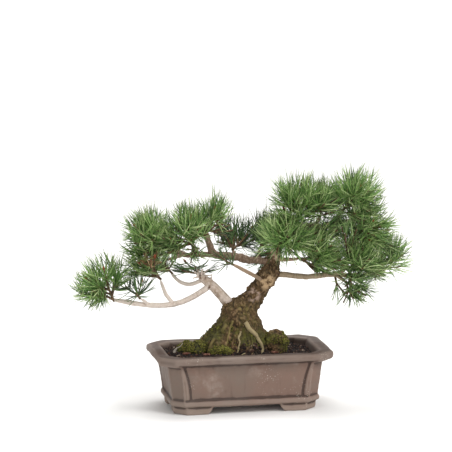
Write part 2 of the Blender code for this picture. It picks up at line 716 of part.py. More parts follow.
def tuft_bmesh(centre, axes, tip, planes, seed):
    """A spiky ball round its middle, held inside flat planes, that touches its twig."""
    rng = np.random.default_rng(seed)
    bm = bmesh.new()
    bmesh.ops.create_icosphere(bm, subdivisions=2, radius=1.0)
    if min(axes) > 2.0 * CM:
        spikes = set(bmesh.ops.poke(bm, faces=bm.faces[:])["verts"])
    else:
        spikes = set(bm.verts)
    to_tip = tip - centre
    reach_tip = np.linalg.norm(to_tip)
    to_tip = to_tip / reach_tip
    root = max(bm.verts, key=lambda v: v.co.normalized().dot(Vector(to_tip)))
    for v in bm.verts:
        out = np.array(v.co.normalized())
        reach = 1 / np.linalg.norm(out / axes)
        reach *= 1.0 + 0.10 * rng.uniform(-1, 1)
        if v not in spikes:
            reach *= 1 - SPIKE_DEPTH
        if v is root:
            out = to_tip
            reach = reach_tip - GAP
        for normal, height in planes:
            lean = out.dot(normal)
            if lean < 0:
                reach = min(reach, (height - centre.dot(normal)) / lean)
        v.co = Vector(centre + out * reach)
    return bm


def build_needles(tree, outlines):
    middles = {}
    for name, (centre, axes, _) in TUFTS.items():
        size = CM * sum(axes) / 3 * TUFT_SIZE
        middles[name] = (np.array(drawn(centre)), size)
    for n, (name, (_, axes, tip)) in enumerate(TUFTS.items()):
        centre = middles[name][0]
        planes = wood_planes(centre, outlines) + tuft_planes(name, middles)
        reach = np.array(axes) * CM * TUFT_SIZE
        bm = tuft_bmesh(centre, reach, np.array(drawn(tip)), planes, 40 + n)
        place(name, bm, "needles", tree, smooth=False)


# ---------------------------------------------------------------- soil and what lies on it
def build_ground_cover(tree, trunk_cutter):
    """A pebble, chips of bark and moss grown round them, with the cutters that seat them."""
    cutters = []
    chips = {name: (by_the_trunk(row[0]), *row[1:]) for name, row in CHIPS.items()}
    for name, (spot, axes, seed) in {"pebble": PEBBLE, **chips}.items():
        slot = "stone" if name == "pebble" else "chip_bark"
        place(name, lump(spot, axes, seed, detail=1, rough=0.3), slot, tree)
        grown = lump(spot, axes, seed, GAP, rough=0.3, detail=1)
        cutters.append(helper(f"{name}_cutter", grown, tree))
    around = [trunk_cutter, *cutters]
    for name, (centre, axes, seed) in MOSS.items():
        spot = by_the_trunk(centre)
        moss = place(name, lump(spot, axes, seed), "moss", tree)
        for cutter in around:
            combine(moss, cutter, "DIFFERENCE")
        cutters.append(helper(f"{name}_cutter", lump(spot, axes, seed, GAP), tree))
    return cutters


def soil_height(x, y):
    """Uneven ground, highest round the tree."""
    near = math.exp(-((x / (0.30 * POT_LENGTH)) ** 2) - (y / (0.45 * POT_DEPTH)) ** 2)
    lean = -0.006 * x / (POT_LENGTH / 2)
    uneven = SOIL_GRAIN * noise.noise(Vector((x, y, 0.0)) * 160)
    return SOIL_LEVEL + SOIL_MOUND * near + lean * 0.25 + uneven


def rounded_outline(inset):
    """Evenly spaced points on the pot's inner outline, for the soil."""
    corners = [Vector((x, y)) for x, y, _ in pot_outline(inset)]
    lengths = [(b - a).length for a, b in zip(corners, corners[1:] + corners[:1])]
    total = sum(lengths)
    points = []
    for k in range(SOIL_SIDES):
        left = total * k / SOIL_SIDES
        i = 0
        while left > lengths[i]:
            left -= lengths[i]
            i += 1
        nxt = corners[(i + 1) % len(corners)]
        points.append(corners[i].lerp(nxt, left / lengths[i]))
    return points


def soil_bmesh():
    floor = FOOT_HEIGHT + FLOOR
    lip = POT_HEIGHT - LIP_HEIGHT
    low = rounded_outline(body_inset(floor, WALL + 0.003 + GAP))
    turn = rounded_outline(body_inset(floor, WALL + GAP))
    high = rounded_outline(body_inset(lip, WALL + GAP))
    rings = [
        [(p.x, p.y, floor + GAP) for p in low],
        [(p.x, p.y, floor + 0.003 + GAP) for p in turn],
    ]
    for k in range(SOIL_RINGS):
        share = 1 - k / SOIL_RINGS
        ring = [(p.x * share, p.y * share) for p in high]
        sink = 0.0015 if k == 0 else 0.0
        rings.append([(x, y, soil_height(x, y) - sink) for x, y in ring])
    bm = bmesh.new()
    loft(bm, rings)
    return bm


def build_soil(stand, cutters):
    soil = place("soil", soil_bmesh(), "soil", stand)
    floor = FOOT_HEIGHT + FLOOR
    half = SCREEN_SIDE / 2 + 2 * GAP
    for sx in (1, -1):
        bm = bmesh.new()
        x = sx * HOLE_SPACING / 2
        high = floor + SCREEN_WIRE * 1.1 + 3 * GAP
        box(bm, (x - half, -half, floor - 0.001), (x + half, half, high))
        combine(soil, helper(f"screen_cutter_{sx}", bm, stand), "DIFFERENCE")
    for cutter in cutters:
        combine(soil, cutter, "DIFFERENCE")


# ---------------------------------------------------------------- whole object
def centre_on_floor(stand):
    """Brings the middle of the bounding box over the origin, with the feet on Z = 0."""
    bpy.context.view_layer.update()
    graph = bpy.context.evaluated_depsgraph_get()
    points = []
    for obj in bpy.context.scene.objects:
        if obj.type != "MESH" or obj.hide_render:
            continue
        shown = obj.evaluated_get(graph)
        mesh = shown.to_mesh()
        points += [shown.matrix_world @ v.co for v in mesh.vertices]
        shown.to_mesh_clear()
    found = np.array([tuple(p) for p in points])
    low, high = found.min(0), found.max(0)
    stand.location = (-(low[0] + high[0]) / 2, -(low[1] + high[1]) / 2, -low[2])


def main():
    clear_scene()
    stand = empty("stand")
    tree = empty("tree", stand)
    tree.location = (0, 0, SOIL_LEVEL)
    tree.rotation_euler = (0, 0, TREE_TURN)
    build_pot(stand)
    build_screens(stand)
    _, outlines = build_trunk(tree)
    trunk_cutter = build_branches(tree, outlines)
    root_cutters = build_roots(tree, trunk_cutter)
    cover_cutters = build_ground_cover(tree, trunk_cutter)
    build_needles(tree, outlines)
    build_soil(stand, [trunk_cutter, *root_cutters, *cover_cutters])
    centre_on_floor(stand)


main()
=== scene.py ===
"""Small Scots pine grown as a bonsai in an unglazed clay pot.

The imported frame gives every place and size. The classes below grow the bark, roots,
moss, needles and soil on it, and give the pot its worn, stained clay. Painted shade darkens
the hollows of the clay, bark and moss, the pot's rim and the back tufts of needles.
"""

import json
import logging
import math
from dataclasses import dataclass, field
from enum import Enum

import bpy
import numpy as np
from mathutils import Matrix, Vector, kdtree, noise
from mathutils.bvhtree import BVHTree

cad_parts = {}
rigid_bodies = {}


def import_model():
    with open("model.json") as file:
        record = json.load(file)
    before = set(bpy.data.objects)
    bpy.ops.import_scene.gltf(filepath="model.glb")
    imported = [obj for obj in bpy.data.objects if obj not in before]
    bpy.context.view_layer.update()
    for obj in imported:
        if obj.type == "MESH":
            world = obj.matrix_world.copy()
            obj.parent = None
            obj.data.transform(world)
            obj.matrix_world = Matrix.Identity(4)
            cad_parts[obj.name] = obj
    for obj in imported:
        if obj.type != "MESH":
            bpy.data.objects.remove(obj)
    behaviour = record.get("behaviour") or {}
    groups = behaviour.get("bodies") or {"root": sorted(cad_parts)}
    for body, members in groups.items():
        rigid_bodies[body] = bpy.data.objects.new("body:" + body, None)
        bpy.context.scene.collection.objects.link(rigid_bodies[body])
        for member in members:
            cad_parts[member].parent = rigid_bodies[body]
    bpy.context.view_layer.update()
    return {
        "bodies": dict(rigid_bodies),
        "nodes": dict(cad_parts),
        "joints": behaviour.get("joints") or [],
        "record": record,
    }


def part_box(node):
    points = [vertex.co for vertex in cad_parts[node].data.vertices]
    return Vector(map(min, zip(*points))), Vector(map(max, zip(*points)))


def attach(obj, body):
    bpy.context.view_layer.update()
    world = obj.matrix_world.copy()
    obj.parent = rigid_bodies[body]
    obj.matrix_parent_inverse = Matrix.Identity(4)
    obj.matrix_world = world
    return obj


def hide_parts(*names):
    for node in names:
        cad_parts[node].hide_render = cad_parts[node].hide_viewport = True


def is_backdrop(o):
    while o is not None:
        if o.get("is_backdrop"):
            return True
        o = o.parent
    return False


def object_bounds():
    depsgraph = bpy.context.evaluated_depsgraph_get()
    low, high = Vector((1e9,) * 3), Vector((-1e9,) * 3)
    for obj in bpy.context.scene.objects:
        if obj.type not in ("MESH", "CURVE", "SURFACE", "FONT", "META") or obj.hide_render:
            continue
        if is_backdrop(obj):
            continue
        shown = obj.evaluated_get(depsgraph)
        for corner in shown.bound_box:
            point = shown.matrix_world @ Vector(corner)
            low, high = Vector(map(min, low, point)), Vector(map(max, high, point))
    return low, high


LOG = logging.getLogger("bonsai")
MM = 0.001
BAKE_MAP = "OFBake"


# ---------------------------------------------------------------- working with objects
def linear(code: str) -> tuple[float, float, float, float]:
    """A colour as a shader socket takes it.

    Args:
        code: six hexadecimal digits, as painters write a colour.

    Returns:
        The linear red, green, blue and alpha.
    """
    parts = [int(code[i : i + 2], 16) / 255 for i in (0, 2, 4)]
    flat = [c / 12.92 if c < 0.04045 else ((c + 0.055) / 1.055) ** 2.4 for c in parts]
    return (flat[0], flat[1], flat[2], 1.0)


def pick(obj: bpy.types.Object) -> None:
    """Selects one object alone and makes it active."""
    if bpy.context.mode != "OBJECT":
        bpy.ops.object.mode_set(mode="OBJECT")
    bpy.ops.object.select_all(action="DESELECT")
    obj.select_set(True)
    bpy.context.view_layer.objects.active = obj


def edit_all(obj: bpy.types.Object) -> None:
    """Opens an object in edit mode with all of it selected."""
    pick(obj)
    bpy.ops.object.mode_set(mode="EDIT")
    bpy.ops.mesh.select_all(action="SELECT")


def leave_edit() -> None:
    """Goes back to object mode."""
    bpy.ops.object.mode_set(mode="OBJECT")


def settle(obj: bpy.types.Object) -> None:
    """Moves an object's place into its mesh."""
    pick(obj)
    bpy.ops.object.transform_apply(location=True, rotation=True, scale=True)


def finish_with(obj: bpy.types.Object, kind: str, **settings: object) -> None:
    """Adds a modifier and applies it.

    Args:
        obj: the object to change.
        kind: the modifier's type.
        settings: its values by name.
    """
    pick(obj)
    step = obj.modifiers.new(kind.lower(), kind)
    for key, value in settings.items():
        setattr(step, key, value)
    bpy.ops.object.modifier_apply(modifier=step.name)


def coordinates(obj: bpy.types.Object) -> np.ndarray:
    """The vertices of an object's mesh, one row each."""
    flat = np.empty(len(obj.data.vertices) * 3, np.float32)
    obj.data.vertices.foreach_get("co", flat)
    return flat.reshape(-1, 3).astype(float)


def set_coordinates(obj: bpy.types.Object, points: np.ndarray) -> None:
    """Writes the vertices of an object's mesh."""
    obj.data.vertices.foreach_set("co", points.astype(np.float32).ravel())
    obj.data.update()


def normals(obj: bpy.types.Object) -> np.ndarray:
    """The vertex normals of an object's mesh."""
    flat = np.empty(len(obj.data.vertices) * 3, np.float32)
    obj.data.vertex_normals.foreach_get("vector", flat)
    return flat.reshape(-1, 3).astype(float)


def new_piece(name: str, points: np.ndarray, faces: np.ndarray) -> bpy.types.Object:
    """An object from arrays of vertices and of faces with equal corners.

    Args:
        name: the piece's name.
        points: one row for each vertex.
        faces: one row of vertex numbers for each face.

    Returns:
        The object, linked to the scene.
    """
    mesh = bpy.data.meshes.new(name)
    count, corners = faces.shape
    mesh.vertices.add(len(points))
    mesh.loops.add(count * corners)
    mesh.polygons.add(count)
    mesh.vertices.foreach_set("co", points.astype(np.float32).ravel())
    mesh.loops.foreach_set("vertex_index", faces.astype(np.int32).ravel())
    mesh.polygons.foreach_set("loop_start", np.arange(count, dtype=np.int32) * corners)
    mesh.update(calc_edges=True)
    mesh.shade_smooth()
    obj = bpy.data.objects.new(name, mesh)
    bpy.context.scene.collection.objects.link(obj)
    return obj


def copy_of(frame: dict, node: str, name: str) -> bpy.types.Object:
    """A welded copy of a frame node's mesh, as a new piece.

    Args:
        frame: the loaded frame.
        node: the node to copy.
        name: the new piece's name.

    Returns:
        The copy.
    """
    mesh = frame["nodes"][node].data.copy()
    mesh.name = name
    mesh.materials.clear()
    obj = bpy.data.objects.new(name, mesh)
    bpy.context.scene.collection.objects.link(obj)
    edit_all(obj)
    bpy.ops.mesh.remove_doubles(threshold=2e-5)
    leave_edit()
    return obj


def push(obj: bpy.types.Object, offsets: np.ndarray) -> None:
    """Moves every vertex along its normal by its own offset."""
    set_coordinates(obj, coordinates(obj) + normals(obj) * offsets[:, None])


def unit(rows: np.ndarray) -> np.ndarray:
    """The rows as directions one long."""
    return rows / np.linalg.norm(rows, axis=1)[:, None]


def surface_of(obj: bpy.types.Object) -> BVHTree:
    """A piece's faces as a tree that rays can be cast at."""
    mesh = obj.data
    return BVHTree.FromPolygons(
        [v.co.copy() for v in mesh.vertices], [tuple(p.vertices) for p in mesh.polygons]
    )


def take_shape(blank: bpy.types.Object) -> tuple[np.ndarray, np.ndarray]:
    """Reads a template's vertices and faces and removes the template."""
    shape = coordinates(blank), np.array([tuple(face.vertices) for face in blank.data.polygons])
    bpy.data.objects.remove(blank, do_unlink=True)
    return shape


def repeated(faces: np.ndarray, size: int, count: int) -> np.ndarray:
    """The faces of many copies of a shape that has so many vertices."""
    return (np.arange(count)[:, None, None] * size + faces[None]).reshape(-1, 3)


def hand_over(piece: bpy.types.Object, node: str = "") -> None:
    """Hides the frame node a piece stands for and attaches the piece to its body.

    Args:
        piece: the finished piece.
        node: the node it replaces, where it replaces one.
    """
    if node:
        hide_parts(node)
    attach(piece, "root")
    LOG.info("%s: %d faces", piece.name, len(piece.data.polygons))


def rough(points: np.ndarray, size: float, seed: float, octaves: int = 3) -> np.ndarray:
    """Smooth noise at each point.

    Args:
        points: places to read, in metres.
        size: how wide a bump of the noise is, in metres.
        seed: shifts the pattern.
        octaves: how many finer layers it has.

    Returns:
        One value for each point, about -1 to 1.
    """
    shift = np.array((seed, seed * 0.7, -seed))
    return np.array(
        [noise.fractal(Vector(p), 0.9, 2.1, octaves) for p in points / size + shift]
    )


def ridges(points: np.ndarray, size: float, seed: float) -> np.ndarray:
    """Noise with sharp crests, from 0 to about 1, for plates of bark."""
    shift = np.array((seed, -seed, seed * 0.3))
    found = [abs(noise.noise(Vector(p))) for p in points / size + shift]
    return 1 - np.clip(np.array(found) * 2.2, 0, 1)


def mark_crests(obj: bpy.types.Object, rounds: int, scale: float) -> None:
    """Stores how far each vertex stands proud, as the attribute `crest`.

    Args:
        obj: the piece to mark.
        rounds: how many times its places are averaged.
        scale: the height that counts as a full crest, in metres.
    """
    mesh = obj.data
    ends = np.empty(len(mesh.edges) * 2, np.int32)
    mesh.edges.foreach_get("vertices", ends)
    ends = ends.reshape(-1, 2)
    count = len(mesh.vertices)
    both = np.concatenate([ends, ends[:, ::-1]])
    degree = np.maximum(np.bincount(both[:, 0], minlength=count), 1)
    start = coordinates(obj)
    level = start.copy()
    for _ in range(rounds):
        level = np.stack(
            [np.bincount(both[:, 0], level[both[:, 1], k], count) / degree for k in range(3)],
            axis=1,
        )
    proud = ((start - level) * normals(obj)).sum(axis=1) / scale
    mark = mesh.attributes.new("crest", "FLOAT", "POINT")
    mark.data.foreach_set("value", np.clip(0.5 + 0.5 * proud, 0, 1).astype(np.float32))


# ---------------------------------------------------------------- node trees
class Graph:
    """The nodes of one material or group, added and joined in code."""

    def __init__(self, tree: bpy.types.NodeTree) -> None:
        """Keeps the tree.

        Args:
            tree: the node tree to fill.
        """
        self.tree = tree

    def add(self, kind: str, **settings: object) -> bpy.types.Node:
        """Adds a node and sets its properties.

        Args:
            kind: the node's type without its ShaderNode prefix.
            settings: properties by name.

        Returns:
            The node.
        """
        prefix = "" if kind.startswith("NodeGroup") else "ShaderNode"
        node = self.tree.nodes.new(prefix + kind)
        for key, value in settings.items():
            setattr(node, key, value)
        return node

    def feed(self, target: bpy.types.NodeSocket, source: object) -> None:
        """Links a socket to an output, or gives it a constant."""
        if isinstance(source, bpy.types.NodeSocket):
            self.tree.links.new(source, target)
        else:
            target.default_value = source

    def maths(self, operation: str, *values: object) -> bpy.types.NodeSocket:
        """A Math node's result, held between 0 and 1."""
        node = self.add("Math", operation=operation, use_clamp=True)
        for socket, value in zip(node.inputs, values):
            self.feed(socket, value)
        return node.outputs[0]

    def mix(self, share: object, low: object, high: object) -> bpy.types.NodeSocket:
        """One colour laid over another by a share."""
        node = self.add("Mix", data_type="RGBA", blend_type="MIX")
        self.feed(node.inputs[0], share)
        self.feed(node.inputs[6], low)
        self.feed(node.inputs[7], high)
        return node.outputs[2]

    def steps(self, value: object, low: object, high: object) -> bpy.types.NodeSocket:
        """A smooth rise from 0 at the low value to 1 at the high one."""
        node = self.add("MapRange", interpolation_type="SMOOTHSTEP")
        for socket, fed in zip(node.inputs, (value, low, high)):
            self.feed(socket, fed)
        return node.outputs[0]

    def noise(self, place: object, scale: float, detail: float = 4.0) -> bpy.types.NodeSocket:
        """The value of a noise pattern."""
        node = self.add("TexNoise")
        self.feed(node.inputs["Vector"], place)
        node.inputs["Scale"].default_value = scale
        node.inputs["Detail"].default_value = detail
        return node.outputs[0]

    def split(self, place: object) -> list[bpy.types.NodeSocket]:
        """The three parts of a place."""
        node = self.add("SeparateXYZ")
        self.feed(node.inputs[0], place)
        return list(node.outputs)

    def use(self, group: bpy.types.NodeTree, **values: object) -> bpy.types.Node:
        """Places a shared group and feeds its named inputs."""
        node = self.add("Group")
        node.node_tree = group
        for key, value in values.items():
            self.feed(node.inputs[key.replace("_", " ").capitalize()], value)
        return node


def group_tree(name: str, inputs: dict[str, str], outputs: dict[str, str]) -> tuple:
    """A new shader group with named sockets.

    Args:
        name: the group's name.
        inputs: socket types by name.
        outputs: socket types by name.

    Returns:
        The group, its graph, its input node and its output node.
    """
    tree = bpy.data.node_groups.new(name, "ShaderNodeTree")
    for side, sockets in (("INPUT", inputs), ("OUTPUT", outputs)):
        for label, kind in sockets.items():
            tree.interface.new_socket(
                name=label, in_out=side, socket_type=f"NodeSocket{kind}"
            )
    graph = Graph(tree)
    return tree, graph, graph.add("NodeGroupInput"), graph.add("NodeGroupOutput")


class Effects:
    """The shared effects, each built once as a node group."""

    def __init__(self) -> None:
        """Builds all four groups."""
        self.mottle = self._mottle()
        self.wear_and_shade = self._wear_and_shade()
        self.specks = self._specks()
        self.relief = self._relief()

    def _mottle(self) -> bpy.types.NodeTree:
        """Two colours that drift into each other over a coarse and a fine scale."""
        tree, graph, given, made = group_tree(
            "mottle",
            {"Place": "Vector", "Scale": "Float", "First": "Color", "Second": "Color",
             "Edge low": "Float", "Edge high": "Float"},
            {"Color": "Color", "Mask": "Float"},
        )
        node = graph.add("TexNoise")
        graph.feed(node.inputs["Vector"], given.outputs["Place"])
        graph.feed(node.inputs["Scale"], given.outputs["Scale"])
        node.inputs["Detail"].default_value = 7.0
        node.inputs["Roughness"].default_value = 0.62
        mask = graph.steps(node.outputs[0], given.outputs["Edge low"], given.outputs["Edge high"])
        colour = graph.mix(mask, given.outputs["First"], given.outputs["Second"])
        graph.feed(made.inputs["Color"], colour)
        graph.feed(made.inputs["Mask"], mask)
        return tree

    def _wear_and_shade(self) -> bpy.types.NodeTree:
        """Crests rubbed pale, and hollows darkened with dirt and painted shade, by the crest
        attribute.
        """
        tree, graph, given, made = group_tree(
            "wear_and_shade",
            {"Crest": "Float", "Color": "Color", "Worn": "Color", "Dirt": "Color",
             "Worn share": "Float", "Dirt share": "Float"},
            {"Color": "Color"},
        )
        high = graph.steps(given.outputs["Crest"], 0.55, 0.95)
        # low marks the hollows, which are darkened with dirt and painted shade.
        low = graph.steps(given.outputs["Crest"], 0.46, 0.12)
        worn = graph.maths("MULTIPLY", high, given.outputs["Worn share"])
        dirt_and_shade_part = graph.maths("MULTIPLY", low, given.outputs["Dirt share"])
        colour = graph.mix(worn, given.outputs["Color"], given.outputs["Worn"])
        graph.feed(made.inputs["Color"], graph.mix(dirt_and_shade_part, colour, given.outputs["Dirt"]))
        return tree

    def _specks(self) -> bpy.types.NodeTree:
        """Small spots, thick in some places and missing in others."""
        tree, graph, given, made = group_tree(
            "specks",
            {"Place": "Vector", "Scale": "Float", "Size": "Float", "Where": "Float"},
            {"Mask": "Float"},
        )
        cells = graph.add("TexVoronoi", feature="F1")
        graph.feed(cells.inputs["Vector"], given.outputs["Place"])
        graph.feed(cells.inputs["Scale"], given.outputs["Scale"])
        near = graph.steps(cells.outputs["Distance"], given.outputs["Size"], 0.0)
        graph.feed(made.inputs["Mask"], graph.maths("MULTIPLY", near, given.outputs["Where"]))
        return tree

    def _relief(self) -> bpy.types.NodeTree:
        """A height with coarse lumps and fine grit."""
        tree, graph, given, made = group_tree(
            "relief",
            {"Place": "Vector", "Coarse": "Float", "Fine": "Float", "Grit": "Float"},
            {"Height": "Float"},
        )
        lumps, grit = graph.add("TexNoise"), graph.add("TexNoise")
        for node, key in ((lumps, "Coarse"), (grit, "Fine")):
            graph.feed(node.inputs["Vector"], given.outputs["Place"])
            graph.feed(node.inputs["Scale"], given.outputs[key])
            node.inputs["Detail"].default_value = 5.0
        fine = graph.maths("MULTIPLY", grit.outputs[0], given.outputs["Grit"])
        coarse = graph.maths("MULTIPLY", lumps.outputs[0], 0.6)
        graph.feed(made.inputs["Height"], graph.maths("ADD", coarse, fine))
        return tree


class Finish:
    """One material: its graph, its shader and the places its patterns read."""

    def __init__(self, name: str, roughness: float) -> None:
        """Starts the material.

        Args:
            name: the material's name.
            roughness: of the whole surface.
        """
        self.material = bpy.data.materials.new(name)
        self.material.use_nodes = True
        self.graph = Graph(self.material.node_tree)
        self.shader = self.material.node_tree.nodes["Principled BSDF"]
        self.shader.inputs["Roughness"].default_value = roughness
        self.place = self.graph.add("TexCoord").outputs["Object"]

    def read(self, attribute: str) -> bpy.types.NodeSocket:
        """The value of a number stored on the mesh."""
        return self.graph.add("Attribute", attribute_name=attribute).outputs["Fac"]

    def colour(self, source: object) -> None:
        """Feeds the base colour."""
        self.graph.feed(self.shader.inputs["Base Color"], source)

    def rough(self, source: object) -> None:
        """Feeds the roughness."""
        self.graph.feed(self.shader.inputs["Roughness"], source)

    def patches(
        self, effects: Effects, scale: float, first: object, second: str, low: float, high: float
    ) -> bpy.types.Node:
        """Two colours that drift into each other.

        Args:
            effects: the shared groups.
            scale: of the pattern.
            first: a colour's digits, or a socket.
            second: the other colour's digits.
            low: where the second colour begins.
            high: where it is full.

        Returns:
            The node, with its colour and its mask.
        """
        base = linear(first) if isinstance(first, str) else first
        return self.graph.use(
            effects.mottle, place=self.place, scale=scale, first=base, second=linear(second),
            edge_low=low, edge_high=high,
        )

    def worn(
        self, effects: Effects, colour: object, pale: str, dirt: str, rubbed: float, hollow_darkening: float
    ) -> bpy.types.NodeSocket:
        """Rubs the crests pale and darkens the hollows with dirt and painted shade.

        Args:
            effects: the shared groups.
            colour: the socket it works on.
            pale: the crests' colour.
            dirt: the hollows' colour, for dirt and painted shade.
            rubbed: how strong the first is.
            hollow_darkening: how strong the hollows' dirt and painted shade are.

        Returns:
            The colour socket.
        """
        return self.graph.use(
            effects.wear_and_shade, crest=self.read("crest"), color=colour, worn=linear(pale),
            dirt=linear(dirt), worn_share=rubbed, dirt_share=hollow_darkening,
        ).outputs[0]

    def relief(
        self, effects: Effects, coarse: float, fine: float, grit: float, strength: float,
        depth: float,
    ) -> None:
        """Bumps the surface with coarse lumps and fine grit.

        Args:
            effects: the shared groups.
            coarse: the scale of the lumps.
            fine: the scale of the grit.
            grit: how much of it there is.
            strength: of the bump, 0 to 1.
            depth: how deep a full step is, in metres.
        """
        height = self.graph.use(
            effects.relief, place=self.place, coarse=coarse, fine=fine, grit=grit
        )
        node = self.graph.add("Bump")
        node.inputs["Strength"].default_value = strength
        node.inputs["Distance"].default_value = depth
        self.graph.feed(node.inputs["Height"], height.outputs[0])
        self.graph.feed(self.shader.inputs["Normal"], node.outputs[0])

    def dress(self, obj: bpy.types.Object) -> None:
        """Gives a piece this finish alone."""
        obj.data.materials.clear()
        obj.data.materials.append(self.material)


def ramp(
    graph: Graph, value: object, stops: tuple[tuple[float, str], ...]
) -> bpy.types.NodeSocket:
    """A colour ramp through named stops.

    Args:
        graph: where it goes.
        value: the socket that drives it.
        stops: each place from 0 to 1 with its colour.

    Returns:
        The colour socket.
    """
    node = graph.add("ValToRGB")
    band = node.color_ramp
    while len(band.elements) < len(stops):
        band.elements.new(0.5)
    for element, (spot, code) in zip(band.elements, stops):
        element.position = spot
        element.color = linear(code)
    graph.feed(node.inputs[0], value)
    return node.outputs[0]


@dataclass(frozen=True)
class PlainFinish:
    """Two colours in patches, over a grain given as the arguments of a relief."""

    name: str
    roughness: float
    scale: float
    first: str
    second: str
    edges: tuple[float, float]
    grain: tuple[float, ...] = ()

    def build(self, effects: Effects) -> Finish:
        """Makes the material.

        Args:
            effects: the shared groups.

        Returns:
            The finish.
        """
        made = Finish(self.name, self.roughness)
        tone = made.patches(effects, self.scale, self.first, self.second, *self.edges)
        made.colour(tone.outputs[0])
        if self.grain:
            made.relief(effects, *self.grain)
        return made


DARK_SOIL = PlainFinish(
    "dark_soil", 0.95, 160.0, "160D0A", "2A1C16", (0.42, 0.68), (260.0, 900.0, 0.8, 1.0, 0.002)
)
GREY_PEBBLE = PlainFinish(
    "grey_pebble", 0.75, 240.0, "A8A093", "857A6C", (0.4, 0.62), (400.0, 1500.0, 0.5, 0.7, 0.0008)
)
RED_CHIP = PlainFinish(
    "red_bark_chip", 0.85, 260.0, "5C3326", "87604E", (0.45, 0.65),
    (500.0, 1700.0, 0.6, 0.9, 0.0009),
)
BLACK_SCREEN = PlainFinish("screen_plastic_finish", 0.5, 300.0, "1E1F20", "33322E", (0.4, 0.7))


# ---------------------------------------------------------------- clay
@dataclass(frozen=True)
class ClayFinish:
    """Unglazed brown-grey clay with stains, dust, lime and rubbed edges, hollows darkened with dirt
    and painted shade, and painted shade on the rim.
    """

    body: str = "6E5E53"
    pink: str = "7A6358"
    dust: str = "8E7F75"
    dark: str = "4C3C34"
    # Colour of the streak stains, and also of the painted shade on the rim.
    lime: str = "CFC8BC"

    def build(self, effects: Effects, base: float, rim: float) -> Finish:
        """Makes the material.

        Args:
            effects: the shared groups.
            base: the height of the foot's underside.
            rim: the height of the rim's top.

        Returns:
            The finish.
        """
        made = Finish("unglazed_clay", 0.82)
        graph = made.graph
        cloud = made.patches(effects, 14.0, self.body, self.pink, 0.38, 0.66)
        dusty = made.patches(effects, 34.0, cloud.outputs[0], self.dust, 0.55, 0.78)
        streaks = graph.add("Mapping")
        graph.feed(streaks.inputs["Vector"], made.place)
        streaks.inputs["Scale"].default_value = (160.0, 160.0, 14.0)
        runs = graph.steps(graph.noise(streaks.outputs[0], 1.0, 3.0), 0.56, 0.78)
        faint = graph.maths("MULTIPLY", runs, 0.35)
        stained = graph.mix(faint, dusty.outputs[0], linear(self.dark))
        height = graph.split(made.place)[2]
        low = graph.maths("MULTIPLY", graph.steps(height, base + 0.018, base), 0.50)
        tide = graph.mix(low, stained, linear("A39284"))
        # Painted shade on the rim: the clay darkens from 13 mm below the rim's top, fully over the
        # top 6 mm.
        rim_shade = graph.maths("MULTIPLY", graph.steps(height, rim - 0.013, rim - 0.006), 0.72)
        rim_shaded = graph.mix(rim_shade, tide, linear(self.dark))
        # Rubbed crests turn paler. Hollows and the groove are darkened with dirt and painted shade.
        worn = made.worn(effects, rim_shaded, "8F7F74", "3A2C26", 0.45, 0.85)
        patch = graph.steps(graph.noise(made.place, 22.0, 2.0), 0.60, 0.72)
        lime = graph.use(
            effects.specks, place=made.place, scale=420.0, size=0.30, where=patch
        )
        made.colour(graph.mix(lime.outputs[0], worn, linear(self.lime)))
        made.rough(graph.steps(cloud.outputs[1], -1.6, 1.3))
        made.relief(effects, 55.0, 700.0, 0.4, 0.5, 0.0009)
        return made


